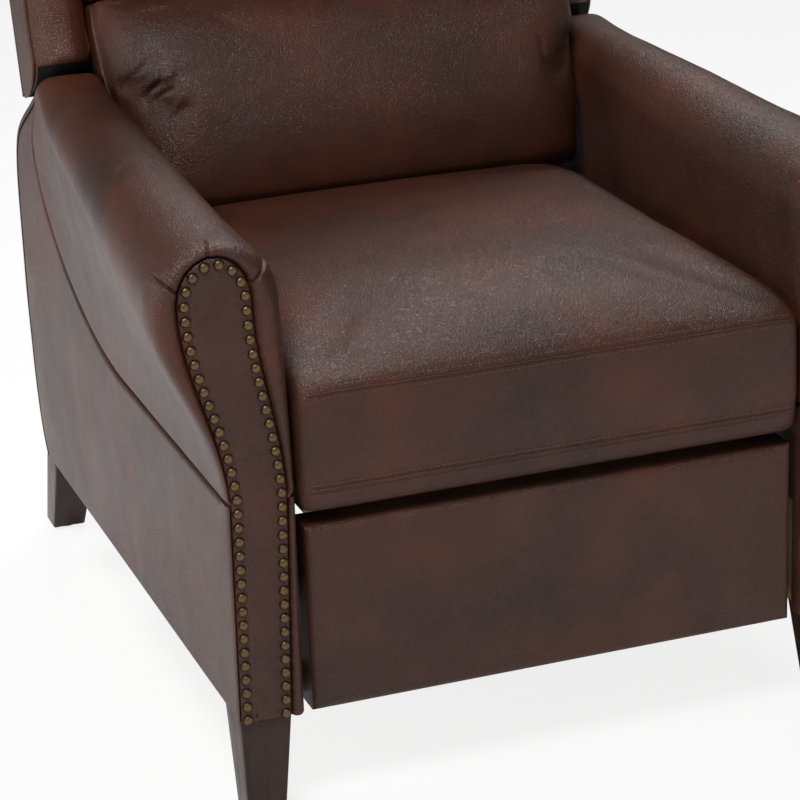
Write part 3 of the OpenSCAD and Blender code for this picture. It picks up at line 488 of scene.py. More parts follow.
def stitches(name, path, normals, size, pitch):
    """A row of sewn stitches along a path, each sunk a little at its ends."""
    run = run_along(path)
    count = max(int(run[-1] / pitch), 2)
    middles = (np.arange(count) + 0.5) / count
    spots = spaced(path, middles)
    ahead = spaced(path, np.minimum(middles + 0.2 / count, 1)) - spaced(path, middles - 0.2 / count)
    ups = spaced(normals, middles)
    clear_selection()
    bpy.ops.mesh.primitive_uv_sphere_add(segments=6, ring_count=5, radius=1)
    shape = bpy.context.object
    set_points(shape, points_of(shape)[:, [2, 0, 1]] * (0.36 * pitch, size / 2, size / 2))
    turns = []
    for a, u in zip(ahead, ups):
        a = a / np.linalg.norm(a)
        u = u - a * np.dot(a, u)
        u /= np.linalg.norm(u)
        turns.append(np.stack([a, np.cross(u, a), u], axis=1))
    return copies(name, shape, spots, turns)


def on_surface(obj, path, lift=0.0):
    """The points of a piece's surface nearest to a path, raised a little, and their normals."""
    make_active(obj)
    tree = BVHTree.FromObject(obj, bpy.context.evaluated_depsgraph_get())
    places, normals = [], []
    for point in path:
        hit, normal, _, _ = tree.find_nearest(Vector(point))
        places.append(np.array(hit) + np.array(normal) * lift)
        normals.append(np.array(normal))
    return np.array(places), np.array(normals)


def relaxed(path, rounds):
    """A path with its small steps smoothed out, its ends kept."""
    path = np.array(path, dtype=float)
    for _ in range(rounds):
        path[1:-1] = (path[:-2] + 2 * path[1:-1] + path[2:]) / 4
    return path


def dress(obj, body, finish, slot, *nodes, fill=None):
    """Gives a piece its finish and its body, and hides the solids that it stands for."""
    obj.data.materials.clear()
    obj.data.materials.append(finish)
    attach(obj, body)
    if nodes:
        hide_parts(*nodes)
    return obj


def cover(obj, body, *nodes, fill=None):
    """Dresses a piece in the main leather."""
    return dress(obj, body, FINISHES["leather"], "leather", *nodes, fill=fill)


# Finishes

def node_of(tree, kind):
    return next(n for n in tree.nodes if n.type == kind)


class Signal:
    """A socket that can stand in sums: each sum adds its Math node."""

    def __init__(self, tree, socket):
        self.tree = tree
        self.socket = socket

    def _sum(self, operation, *values):
        node = self.tree.nodes.new("ShaderNodeMath")
        node.operation = operation
        for slot, value in zip(node.inputs, values):
            if isinstance(value, Signal):
                self.tree.links.new(value.socket, slot)
            else:
                slot.default_value = value
        return Signal(self.tree, node.outputs[0])

    def __add__(self, other):
        return self._sum("ADD", self, other)

    __radd__ = __add__

    def __sub__(self, other):
        return self._sum("SUBTRACT", self, other)

    def __rsub__(self, other):
        return self._sum("SUBTRACT", other, self)

    def __mul__(self, other):
        return self._sum("MULTIPLY", self, other)

    __rmul__ = __mul__


class Finish:
    """A material whose nodes are added one by one."""

    def __init__(self, name, **plain):
        self.material = bpy.data.materials.new(name)
        self.material.use_nodes = True
        self.tree = self.material.node_tree
        self.shader = node_of(self.tree, "BSDF_PRINCIPLED")
        for key, value in plain.items():
            self.shader.inputs[key.replace("_", " ")].default_value = value
        self.place = self.add("TexCoord", out="Object")

    def add(self, kind, settings=None, out=0, **values):
        """Adds a node: its settings first, then its sockets' values and links."""
        node = self.tree.nodes.new("ShaderNode" + kind)
        for key, value in (settings or {}).items():
            setattr(node, key, value)
        for key, value in values.items():
            names = [s for s in node.inputs if s.enabled and s.name.replace(" ", "_") == key]
            slot = names[0] if names else node.inputs[int(key.strip("i"))]
            if isinstance(value, Signal):
                self.tree.links.new(value.socket, slot)
            else:
                slot.default_value = (*value, 1) if slot.type == "RGBA" and len(value) == 3 else value
        return Signal(self.tree, node.outputs[out])

    def cloud(self, scale, detail=3.0, roughness=0.55, place=None, low=None, high=None):
        """Noise between 0 and 1, spread from low to high where these are given."""
        value = self.add("TexNoise", {"noise_dimensions": "3D"}, Vector=place or self.place,
                         Scale=scale, Detail=detail, Roughness=roughness)
        return value if low is None else self.spread(value, low, high)

    def spread(self, value, low, high):
        """Goes softly from 0 at low to 1 at high."""
        return self.add("MapRange", {"interpolation_type": "SMOOTHSTEP"}, Value=value, From_Min=low,
                        From_Max=high)

    def stretched(self, scale, place=None):
        return self.add("Mapping", Vector=place or self.place, Scale=scale)

    def blend(self, amount, first, second):
        """Goes from the first colour to the second."""
        return self.add("Mix", {"data_type": "RGBA"}, out=2, i0=amount, i6=first, i7=second)

    def feed(self, name, signal):
        self.tree.links.new(signal.socket, self.shader.inputs[name])

    def bump(self, height, distance, strength=1.0):
        self.feed("Normal", self.add("Bump", Strength=strength, Distance=distance, Height=height))


def darker(tone, share):
    return tuple(v * share for v in tone)


def leather_finish(c, name="antiqued_leather", dark=0.0, red=0.0):
    """Chestnut leather: warm and dark clouds, rubbed places, a fine pebbled grain."""
    f = Finish(name, Specular_IOR_Level=0.36)
    warm = f.cloud(6.5, 3.0, 0.6, low=0.44 - red, high=0.66 - red)
    shade = f.cloud(4.0, 4.0, 0.62, place=f.add("Mapping", Vector=f.place, Location=(3.1, 1.7, 0.4)),
                    low=0.47 - dark, high=0.72 - dark)
    rubbed = f.cloud(9.0, 5.0, 0.65, place=f.add("Mapping", Vector=f.place, Location=(7.3, 2.9, 5.1)),
                     low=0.52, high=0.78)
    fleck = f.cloud(260.0, 2.0, 0.5)
    tone = f.blend(warm * 0.75, tuple(c.leather), tuple(c.leather_red))
    tone = f.blend(shade * 0.6, tone, tuple(c.leather_dark))
    tone = f.blend(rubbed * 0.42, tone, tuple(c.leather_worn))
    tone = f.blend(f.add("MapRange", Value=fleck, From_Min=0.42, From_Max=0.68) * 0.22, tone,
                   tuple(c.leather_worn))
    f.feed("Base Color", tone)
    cells = f.add("TexVoronoi", {"feature": "DISTANCE_TO_EDGE"}, Vector=f.place, Scale=470.0)
    pebble = f.spread(cells, 0.0, 0.32)
    f.feed("Roughness", 0.25 + f.cloud(14.0, 4.0, 0.6) * 0.15 - rubbed * 0.05 + (1 - pebble) * 0.08)
    slow = f.cloud(22.0, 2.0, 0.5)
    f.bump(pebble * 0.34 + f.cloud(240.0, 3.0, 0.6) * 0.70 + slow * 1.1, 0.0016, 0.6)
    return f.material


def thread_finish(c):
    f = Finish("waxed_thread", Specular_IOR_Level=0.3)
    twist = f.add("TexWave", {"wave_type": "BANDS", "bands_direction": "DIAGONAL"}, Vector=f.place,
                  Scale=700.0, Distortion=1.0)
    f.feed("Base Color", f.blend(f.cloud(300.0), tuple(c.thread), darker(c.thread, 0.55)))
    f.feed("Roughness", 0.5 + f.cloud(160.0) * 0.2)
    f.bump(twist, 0.0002, 0.6)
    return f.material


def brass_finish(c):
    f = Finish("aged_brass", Metallic=0.85, Specular_IOR_Level=0.5)
    rim = f.add("Attribute", {"attribute_name": "rim"}, out=2)
    spots = f.cloud(70.0, 3.0, 0.6, low=0.38, high=0.68)
    worn = f.cloud(420.0, 3.0, 0.6, low=0.35, high=0.7)
    dark = f.spread(rim, 0.30, 0.72)
    tone = f.blend(spots * 0.35 + worn * 0.2, tuple(c.brass), darker(c.brass, 0.6))
    f.feed("Base Color", f.blend(dark * 0.96, tone, tuple(c.brass_dark)))
    f.feed("Roughness", 0.34 + worn * 0.16 + dark * 0.2)
    f.bump(f.cloud(900.0, 2.0), 0.0002, 0.35)
    return f.material


def leg_finish(c):
    """Espresso stained wood with its grain up the leg."""
    f = Finish("espresso_wood", Specular_IOR_Level=0.3, Coat_Weight=0.08, Coat_Roughness=0.25)
    along = f.stretched((60.0, 60.0, 3.2))
    grain = f.cloud(1.0, 5.0, 0.65, place=along, low=0.35, high=0.72)
    pores = f.cloud(1.0, 2.0, 0.5, place=f.stretched((620.0, 620.0, 24.0)), low=0.5, high=0.75)
    tone = f.blend(grain * 0.8, tuple(c.wood), darker(c.wood, 0.42))
    f.feed("Base Color", f.blend(pores * 0.5, tone, darker(c.wood, 0.25)))
    f.feed("Roughness", 0.34 + grain * 0.12 + pores * 0.1)
    f.bump(grain * 0.3 - pores * 0.5, 0.0004, 0.5)
    return f.material


def frame_wood_finish(c):
    """Bare frame wood: long grain lines and thin ply layers."""
    f = Finish("bare_frame_wood", Specular_IOR_Level=0.3)
    along = f.stretched((38.0, 4.0, 38.0))
    grain = f.cloud(1.0, 6.0, 0.62, place=along, low=0.32, high=0.72)
    lines = f.add("TexWave", {"wave_type": "BANDS", "bands_direction": "Z"}, Vector=f.place, Scale=42.0,
                  Distortion=6.0, Detail=3.0)
    tone = f.blend(grain * 0.55, tuple(c.frame_wood), darker(c.frame_wood, 0.58))
    f.feed("Base Color", f.blend(lines * 0.25, tone, darker(c.frame_wood, 0.7)))
    f.feed("Roughness", 0.62 + grain * 0.18)
    f.bump(grain + lines * 0.3, 0.0005, 0.4)
    return f.material


def metal_finish(name, tone, metallic, roughness, fleck):
    f = Finish(name, Metallic=metallic, Specular_IOR_Level=0.5)
    cloud = f.cloud(34.0, 4.0, 0.6, low=0.35, high=0.7)
    grit = f.cloud(700.0, 2.0, 0.5)
    f.feed("Base Color", f.blend(cloud * fleck, tone, darker(tone, 0.55)))
    f.feed("Roughness", roughness + cloud * 0.1 + grit * 0.08)
    f.bump(grit, 0.00025, 0.35)
    return f.material


def nylon_finish():
    f = Finish("moulded_nylon", Specular_IOR_Level=0.4)
    f.feed("Base Color", f.blend(f.cloud(60.0), (0.022, 0.022, 0.024), (0.034, 0.034, 0.036)))
    f.feed("Roughness", 0.42 + f.cloud(900.0, 2.0) * 0.15)
    f.bump(f.cloud(1200.0, 2.0), 0.00015, 0.4)
    return f.material


def cloth_finish():
    """Black lining cloth with a plain weave."""
    f = Finish("black_lining", Specular_IOR_Level=0.12)
    warp = f.add("TexWave", {"wave_type": "BANDS", "bands_direction": "X"}, Vector=f.place, Scale=230.0)
    weft = f.add("TexWave", {"wave_type": "BANDS", "bands_direction": "Y"}, Vector=f.place, Scale=230.0)
    weave = warp * (1 - weft) + weft * (1 - warp)
    lint = f.cloud(90.0, 3.0, 0.6, low=0.45, high=0.75)
    tone = f.blend(weave * 0.4, (0.0045, 0.0045, 0.0050), (0.010, 0.010, 0.0105))
    f.feed("Base Color", f.blend(lint * 0.2, tone, (0.024, 0.023, 0.023)))
    f.feed("Roughness", 0.78 + weave * 0.12)
    f.bump(weave, 0.0003, 0.5)
    return f.material


def make_finishes(c):
    """Every finish by its name."""
    return {
        "leather": leather_finish(c),
        "leather_panel": leather_finish(c, "panel_leather", dark=0.05, red=-0.03),
        "thread": thread_finish(c),
        "aged_brass": brass_finish(c),
        "espresso_wood": leg_finish(c),
        "frame_wood": frame_wood_finish(c),
        "black_steel": metal_finish("black_painted_steel", (0.016, 0.016, 0.018), 0.0, 0.36, 0.6),
        "zinc_steel": metal_finish("zinc_plated_steel", (0.48, 0.49, 0.51), 1.0, 0.30, 0.5),
        "nylon": nylon_finish(),
        "black_cloth": cloth_finish(),
    }


# Pieces

SIDES = ((1, "left"), (-1, "right"))
FINISHES = {}
# The collar's pleats on the front, across and up: outer end, inner end
PLEATS = (((0.4045, 0.5855), (0.384, 0.570)), ((0.3515, 0.6105), (0.3525, 0.596)),
          ((0.2960, 0.5805), (0.314, 0.570)))
# Depth of each pleat and the side of its fold
PLEAT_FOLDS = ((0.0036, 1), (0.0028, -1), (0.0034, -1))
# Length of the roll's section, and the points that a collar and a roll are drawn in towards
ROLL_GIRTH, COLLAR_HEART, ROLL_HEART = 0.62, (0.346, 0.0, 0.520), (0.346, 0.0, 0.500)
# Rings of a nailhead in diameters: radius, height, share of patina
NAIL_RINGS = ((0.5, -0.10, 1.0), (0.498, 0.02, 1.0), (0.46, 0.10, 0.75), (0.385, 0.215, 0.45),
              (0.27, 0.285, 0.2), (0.13, 0.315, 0.05), (0.0, 0.32, 0.0))
NAIL_SIDES = 16
# Depth of the groove beside a keyhole panel, most that a collar stands out, share of its width at
# which it does, and how far back its section turns into the roll's
GROOVE, COLLAR_MOST, COLLAR_PEAK, COLLAR_RUN = 0.003, 0.0078, 0.38, 0.06


def facing_line(m, inset=0.0):
    """The keyhole panel's edge from its outer foot over the top to its inner foot."""
    line = shifted(nail_line(m), m.nail_margin - inset)
    first, last = line[0].copy(), line[-1].copy()
    first[1] = last[1] = m.leg_height + inset
    return np.concatenate([[first], line, [last]])


def collar_profile(m, groove, rim, wall):
    """Rows of points from the groove at the panel over the padded collar to the arm's face.

    groove and rim are lines on the front, wall gives the arm's face at a place along the chair.
    """
    width = np.linalg.norm(rim - groove, axis=1)
    proud = np.minimum(m.collar_bulge + 0.13 * width, COLLAR_MOST) * np.clip(width / 0.004, 0.25, 1)
    depth = GROOVE + 0.72 * width
    rows = []
    for turn in np.linspace(0, 90, 7):
        w = COLLAR_PEAK * (1 - math.cos(math.radians(turn)))
        y = GROOVE - (GROOVE + proud) * math.sin(math.radians(turn))
        rows.append((w, y))
    for turn in np.linspace(0, 90, 11)[1:]:
        w = COLLAR_PEAK + (1 - COLLAR_PEAK) * math.sin(math.radians(turn))
        y = -proud + (depth + proud) * (1 - math.cos(math.radians(turn)))
        rows.append((w, y))
    out = []
    for w, y in rows:
        flat = groove + (wall(y) - groove) * w
        out.append(at_depth(y, flat))
    return np.array(out), depth


def gather(points, shares, spots):
    """Presses pleats into the collar: a sharp valley with a soft fold beside it."""
    out, rows = points.copy(), len(points)
    reach = np.clip(np.minimum(np.arange(rows) / 3, (rows + 4 - np.arange(rows)) / 6), 0, 1)
    for start, end, sink, lean in spots:
        for k in range(rows):
            along = (shares - start - (end - start) * k / (rows - 1)) * ROLL_GIRTH
            valley = np.exp(-(along / 0.0015) ** 2)
            fold = np.exp(-((along - lean * 0.0050) / 0.0038) ** 2)
            push = reach[k] * (sink * valley - 0.0013 * fold)
            out[k, :, 1] += push
            inward = np.array(COLLAR_HEART) - out[k]
            inward[:, 1] = 0
            inward /= np.linalg.norm(inward, axis=1)[:, None]
            out[k] += inward * (push * min(k / rows, 1) * 0.8)[:, None]
    return out


def leant(m, y, z):
    """Place along the chair of a row's points, which lean forward at the roll's rear end."""
    late = soft_ramp(y, LEAN_FROM, m.roll_end - LEAN_FROM)
    return y - m.end_lean * late * np.maximum(z - m.roll_foot, 0)


def crossing(line, height):
    """Where a facing line first climbs over a height, on its lower stretch."""
    for a, b in zip(line[1:NAIL_STEPS + 2], line[2:NAIL_STEPS + 3]):
        if a[1] <= height < b[1]:
            return np.array([[np.interp(height, [a[1], b[1]], [a[0], b[0]]), height]])


def nearest_share(shares, line, spot):
    return shares[np.argmin(np.linalg.norm(line - np.array(spot), axis=1))]


def arm_roll(m, side, word):
    """One padded roll: its pleated collar, its long body and its drawn-in rear end."""
    dense = np.linspace(0, 1, 1200)
    front = roll_section(m, 0.0, dense)
    pleat_at = [nearest_share(dense, front, outer) for outer, _ in PLEATS]
    shares = list(np.linspace(0, 1, 190))
    for spot in pleat_at:
        shares += list(spot + np.linspace(-0.045, 0.045, 56))
    shares = np.array(sorted(shares))
    shares = shares[np.concatenate([[True], np.diff(shares) > 0.0006])]
    shares[-1] = 1.0
    edge = facing_line(m)
    above = edge[edge[:, 1] > m.roll_seam]
    groove = spaced(np.concatenate([crossing(edge[::-1], m.roll_seam), above[::-1],
                                    crossing(edge, m.roll_seam)]), shares)
    near, far = roll_section(m, 0.0, shares), roll_section(m, COLLAR_RUN, shares)

    def wall(y):
        return near + (far - near) * np.reshape(ramp(np.asarray(y), 0, COLLAR_RUN), (-1, 1))

    collar, depth = collar_profile(m, groove, near, wall)
    spots = [(nearest_share(shares, groove, inner), outer_at, *fold)
             for (_, inner), outer_at, fold in zip(PLEATS, pleat_at, PLEAT_FOLDS)]
    rows = list(gather(collar, shares, spots))
    for k in range(1, 6):
        y = depth + (0.062 - depth) * k / 6
        rows.append(at_depth(y, wall(y)))
    late = np.sin(np.radians(np.linspace(3, 90, 30)))
    for y in np.concatenate([np.linspace(0.064, m.roof_turn, 44),
                             m.roof_turn + (m.roll_end - m.roof_turn) * late]):
        flat = roll_section(m, y, shares)
        rows.append(at_depth(leant(m, y, flat[:, 1]), flat))
    rows = np.array(rows)
    # The leather turns in along the seam under the roll, and gathers softly behind the collar
    for foot, turn, half in ((0, 1, shares < 0.5), (-1, -1, shares > 0.5)):
        drop = rows[:, :, 2] - rows[:, foot, 2][:, None]
        rows[:, :, 0] += turn * 0.0035 * np.exp(-(drop / 0.004) ** 2) * half
    outward = rows - np.array(ROLL_HEART)
    outward[..., 1] = 0
    outward /= np.maximum(np.linalg.norm(outward, axis=2), 1e-6)[..., None]
    y = rows[..., 1]
    behind = ramp(y, 0.012, 0.02) * np.exp(-np.clip(y - 0.02, 0, 1) / 0.05)
    folds = np.sin(shares * 96 + 2.0 * np.sin(shares * 17))[None, :] * 0.0007
    free = np.clip((m.roll_end - y) / 0.05, 0, 1) * ramp(y, 0, 0.03)
    waves = ripple(rows * (1.0, 0.55, 1.0), 11.0, 3.0 * side) * 0.0016 + ripple(rows, 26.0, 9.0) * 0.0005
    rows += outward * (folds * behind + waves * free)[..., None]
    obj = skin(f"{word}_roll_leather", on_chair(mirrored(rows, side)), angle=50)
    return cover(obj, "base", f"{word}_arm_roll", fill=0.9)


def collar_leg(m, side, word, inner):
    """The collar's leather below the roll: an inner strip, or the outer one that tapers to a point."""
    z = np.linspace(m.leg_height, m.roll_seam - 0.0006, 60)
    edge = facing_line(m)
    lower = (edge[::-1] if inner else edge)[:NAIL_STEPS + 2]
    groove = np.stack([np.interp(z, lower[:, 1], lower[:, 0]), z], axis=1)
    rim = np.stack([np.full(60, m.arm_in if inner else m.half), z], axis=1)
    rows, _ = collar_profile(m, groove, rim, lambda y: rim)
    rows = np.concatenate([rows, [at_depth(0.016, rim), at_depth(0.016, groove)]])
    if inner:
        rows[9:12, :, 1] += 0.0012 * (0.5 + 0.5 * np.sin(z * 31 + 1.0))[None, :]
        rows[12:14, :, 1] -= 0.0007
    obj = skin(f"{word}_{'inner' if inner else 'outer'}_strip",
               on_chair(mirrored(np.transpose(rows, (1, 0, 2)), side)), angle=45)
    return cover(obj, "base", fill=0.7)


def keyhole_panel(m, side, word):
    """The flat keyhole panel of an arm front, its edge rounded over and its face barely crowned."""
    rings = []
    for inset, y in ((0.0, 0.0035), (0.0, -0.0028), (0.0006, -0.0040), (0.0017, -0.0048),
                     (0.0035, -0.0051), (0.0075, -0.0053), (0.0120, -0.0058), (0.0160, -0.0062)):
        line = spaced(facing_line(m, inset + 0.0004), np.linspace(0, 1, 150))
        rings.append(at_depth(y, line))
    obj = skin(f"{word}_keyhole_leather", on_chair(mirrored(rings, side)), angle=40)
    return dress(obj, "base", FINISHES["leather_panel"], "leather", f"{word}_arm_front_panel", fill=0.9)


def nail(m):
    """One domed nailhead, open towards the leather."""
    a = np.linspace(0, 2 * math.pi, NAIL_SIDES, endpoint=False)
    rings = [np.stack([r * np.cos(a), np.full(NAIL_SIDES, -h), r * np.sin(a)], axis=1)
             for r, h, _ in NAIL_RINGS]
    return skin("nail", np.array(rings) * m.nail_size, capped=False)


def nail_row(m, side, word):
    """Domed nails, a little uneven, along their line round the arm front."""
    line = nail_line(m)
    count = int(run_along(line)[-1] / m.nail_pitch) + 1
    spots = spaced(line, np.linspace(0, 1, count))
    shape = nail(m)
    level = np.interp(-points_of(shape)[:, 1], [h * m.nail_size for _, h, _ in NAIL_RINGS],
                      [patina for _, _, patina in NAIL_RINGS])
    places, turns = [], []
    for k, (x, z) in enumerate(spots):
        nod = 0.09 * noise.noise(Vector((k * 1.7, side, 0)))
        sway = 0.09 * noise.noise(Vector((k * 2.3, 5, side)))
        turns.append(np.array(Matrix.Rotation(nod, 3, "X") @ Matrix.Rotation(sway, 3, "Z")
                              @ Matrix.Rotation(k * 0.9, 3, "Y")))
        places.append(on_chair((x * side, -m.facing_proud - 0.0003, z)))
    obj = copies(f"{word}_nail_row", shape, places, turns)
    edit_all(obj, lambda: bpy.ops.mesh.normals_make_consistent(inside=False))
    rim = obj.data.attributes.new("rim", "FLOAT", "POINT")
    rim.data.foreach_set("value", np.tile(level, len(places)))
    return dress(obj, "base", FINISHES["aged_brass"], "aged_brass", f"{word}_nailheads")


def arm_face(m, low):
    """One flat side of an arm as grids of places and heights, with their outline.

    The main grid runs under the roll and behind it, the small one fills the ear beside the roll's end.
    """
    rear = shifted(rear_edge(m), 0.010)
    last = np.argmax(rear[:, 0])
    over, under = rear[:last + 1], rear[last:][::-1]
    columns = np.concatenate([0.004 + 0.012 * np.linspace(0, 1, 8) ** 1.5, np.linspace(0.025, 0.695, 76),
                              np.linspace(0.702, m.roll_end, 14),
                              np.linspace(m.roll_end + 0.0002, rear[last, 0] - 0.0004, 30)])
    up = (1 - np.cos(np.pi * np.linspace(0, 1, 64))) / 2
    main = []
    for y in columns:
        top = seam_height(m, y) - 0.0006 if y <= m.roll_end else np.interp(y, over[:, 0], over[:, 1])
        foot = max(low, np.interp(y, under[:, 0], under[:, 1]) if y > under[0, 0] else low)
        main.append(np.stack([np.full_like(up, y), foot + (max(top, foot + 0.002) - foot) * up], axis=1))
    main = np.array(main)
    seam = np.array([m.roll_end, m.roll_foot])
    peak = seam + np.array([-m.end_lean * 0.062, 0.062])
    ear = over[(over[:, 0] > peak[0] + 0.001) & (over[:, 0] < m.roll_end)]
    corner = np.array([m.roll_end + 0.0002, np.interp(m.roll_end, over[:, 0], over[:, 1])])
    right = chain(np.array([peak]), ear, np.linspace(corner, (corner[0], m.roll_foot), 8))
    shares = np.linspace(0, 1, 26)
    left, right = np.linspace(peak, seam, 26), spaced(right, shares)
    small = left[:, None] + (right - left)[:, None] * np.linspace(0, 1, 12)[None, :, None]
    behind = over[over[:, 0] >= m.roll_end]
    outline = np.concatenate([main[0], main[:, -1][columns <= m.roll_end], np.linspace(seam, peak, 12),
                              ear, behind, main[::-1, 0]])
    return (main, small), outline


def arm_leather(m, side, word, x, facing, low, rounding, waves, seed):
    """Stretched leather on one side of an arm."""
    grids, outline = arm_face(m, low)
    sheets = []
    for k, flat in enumerate(grids):
        grid = np.concatenate([np.full(flat.shape[:2] + (1,), x), flat], axis=2)
        gap = distance_to(flat, outline)
        bend = ramp(gap, 0, 0.05) * (ripple(grid, 7.0, seed) * waves
                                     + ripple(grid, 19.0, 2.0) * waves * 0.25)
        grid[..., 0] += facing * (bend - edge_rounding(gap, rounding))
        sheets.append(skin(f"{word}_sheet_{k}", on_chair(mirrored(grid, side)), closed=False,
                           capped=False))
        face_towards(sheets[-1], (side * facing, 0, 0))
    make_active(sheets[0])
    sheets[1].select_set(True)
    bpy.ops.object.join()
    edit_all(sheets[0], lambda: bpy.ops.mesh.remove_doubles(threshold=2e-4))
    thicken(sheets[0], 0.006)
    return sheets[0]


def side_panel(m, side, word):
    """The flat outer side of an arm, stretched leather that rounds over at its edges."""
    obj = arm_leather(m, side, word, m.half, 1, m.leg_height, 0.006, 0.0016, 4.0 * side)
    obj.name = obj.data.name = f"{word}_side_leather"
    return cover(obj, "base", f"{word}_outer_side_panel", fill=0.8)


def rear_band(m, side, word):
    """The leather that wraps the rear edge of an arm from its outer face to its inner one."""
    line = rear_edge(m, 20)
    r, arc = 0.008, np.radians([18, 36, 54, 72, 90])
    section = [(m.half, 0.0105), (m.half, r)]
    section += [(m.half - r + r * math.cos(a), r - r * math.sin(a)) for a in arc]
    section += [(x, 0.0) for x in np.linspace(m.half - r, m.arm_in + r, 10)[1:]]
    section += [(m.arm_in + r - r * math.sin(a), r - r * math.cos(a)) for a in arc]
    section += [(m.arm_in, 0.0105), (m.arm_in + 0.004, 0.0105), (m.half - 0.004, 0.0105)]
    rows = np.transpose([at_side(x, shifted(line, inset)) for x, inset in section], (1, 0, 2))
    rows[..., 1] += 0.0008 * ripple(rows, 16.0, 6.0)
    obj = skin(f"{word}_rear_band", on_chair(mirrored(rows, side)), angle=40)
    return cover(obj, "base", fill=0.7)


def inner_panel(m, side, word):
    """The inner side of an arm below and behind its roll."""
    obj = arm_leather(m, side, word, m.arm_in, -1, 0.236, 0.004, 0.0006, 3.0)
    obj.name = obj.data.name = f"{word}_inner_leather"
    return cover(obj, "base", f"{word}_inner_arm_panel", fill=0.8)


def leg(m, side, word, rear):
    """A square tapered leg with eased edges."""
    top, foot = (0.050 if rear else 0.054), 0.040
    x = m.half - 0.003 - top / 2
    y, y_foot = (0.797, 0.847) if rear else (0.028, 0.018)
    x_foot = m.half - 0.0255
    end = "rear" if rear else "front"
    obj = block(f"{word}_{end}_tapered_leg")
    points = points_of(obj)
    high = points[:, 2] > 0
    wide = np.where(high, top, foot)
    placed = np.stack([np.where(high, x, x_foot) + points[:, 0] * wide,
                       np.where(high, y, y_foot) + points[:, 1] * wide,
                       np.where(high, m.leg_height - 0.0002, 0.0032)], axis=1)
    set_points(obj, on_chair(mirrored(placed, side)))
    edit_all(obj, lambda: bpy.ops.mesh.normals_make_consistent(inside=False),
             lambda: bpy.ops.mesh.subdivide(number_cuts=3))
    ease_edges(obj, 0.0024, 30)
    return dress(obj, "base", FINISHES["espresso_wood"], "espresso_wood", f"{word}_{end}_leg")


def rail_cover(m):
    """Leather wrapped round the rear cross rail, which is what shows from behind under the back."""
    obj = block("rear_rail_leather")
    low = np.array([-(m.arm_in + 0.0115), 0.7703, m.leg_height - 0.0018])
    high = np.array([m.arm_in + 0.0115, 0.7937, m.leg_height + 0.1118])
    edit_all(obj, lambda: bpy.ops.mesh.subdivide(number_cuts=9))
    points = (points_of(obj) + 0.5) * (high - low) + low
    set_points(obj, on_chair(points))
    ease_edges(obj, 0.004, 35)
    return cover(obj, "base")


# Cushions

# Size of a cloth cell, frames that a cushion is blown up for, share of a back cushion that is boxed
CLOTH_CELL, CLOTH_FRAMES, BOXED = 0.006, 20, 0.44
# How far the lumbar cushion's front hangs down at its foot, and where along its depth that begins
LUMBAR_DROOP, DROOP_RAMP = 0.016, (0.09, 0.08)


def rounded_loop(corners, count):
    """A closed smooth line through corners, evenly spaced."""
    p = np.array(corners, dtype=float)
    out = []
    for i in range(len(p)):
        a, b, c, d = p[i - 1], p[i], p[(i + 1) % len(p)], p[(i + 2) % len(p)]
        for t in np.linspace(0, 1, 12, endpoint=False):
            out.append(0.5 * (2 * b + (c - a) * t + (2 * a - 5 * b + 4 * c - d) * t * t
                              + (3 * b - a - 3 * c + d) * t ** 3))
    out.append(out[0])
    return spaced(np.array(out), np.linspace(0, 1, count + 1))[:-1]


def puff(obj, held, room, cap, pressure=4.0, calm=3):
    """Blows a cushion up as cloth: held marks what stays put, room keeps it off its neighbours.

    cap is the furthest that a point may move, calm the rounds of smoothing after it.
    """
    cells = obj.modifiers.new("cells", "REMESH")
    cells.mode, cells.voxel_size, cells.use_smooth_shade = "VOXEL", CLOTH_CELL, True
    apply_modifiers(obj)
    start = points_of(obj)
    group = obj.vertex_groups.new(name="held")
    weight = held(start)
    for level in np.unique(np.round(weight, 2)):
        if level > 0:
            alike = [int(i) for i in np.where(np.abs(weight - level) < 0.006)[0]]
            group.add(alike, float(level), "REPLACE")
    cloth = obj.modifiers.new("cloth", "CLOTH")
    cloth.settings.use_pressure = True
    cloth.settings.uniform_pressure_force = pressure
    cloth.settings.effector_weights.gravity = 0
    cloth.settings.vertex_group_mass = "held"
    cloth.settings.tension_stiffness = cloth.settings.compression_stiffness = 12
    cloth.settings.bending_stiffness = 0.6
    cloth.point_cache.frame_start, cloth.point_cache.frame_end = 1, CLOTH_FRAMES
    scene = bpy.context.scene
    for step in range(1, CLOTH_FRAMES + 1):
        scene.frame_set(step)
    shape = obj.evaluated_get(bpy.context.evaluated_depsgraph_get())
    flat = np.empty(len(start) * 3)
    shape.data.vertices.foreach_get("co", flat)
    scene.frame_set(1)
    obj.modifiers.clear()
    moved = flat.reshape(-1, 3) - start
    far = np.linalg.norm(moved, axis=1)
    moved *= (np.minimum(far, cap) / np.maximum(far, 1e-9))[:, None]
    set_points(obj, room(start + moved))
    ironed = obj.modifiers.new("ironed", "SMOOTH")
    ironed.factor, ironed.iterations = 0.5, calm
    finer = obj.modifiers.new("finer", "SUBSURF")
    finer.levels = finer.render_levels = 1
    apply_modifiers(obj)
    obj.vertex_groups.clear()
    set_points(obj, room(points_of(obj)))
    soften(obj, 60)


def double_seam(m, name, obj, path):
    """A raised seam sewn on the seat, with a row of stitches on each side of it."""
    place, normal = on_surface(obj, path)
    place = relaxed(place, 6)
    cover(welt(f"{name}_ridge", place + normal * 0.0001, 0.0016), "seat")
    ahead = np.gradient(place, axis=0)
    ahead /= np.linalg.norm(ahead, axis=1)[:, None]
    beside = np.cross(ahead, normal)
    for level, gap in (("low", -0.0055), ("high", 0.0055)):
        row, up = on_surface(obj, place + beside * gap, 0.0003)
        dress(stitches(f"{name}_stitches_{level}", row, up, 0.0011, m.stitch_pitch), "seat",
              FINISHES["thread"], "leather")


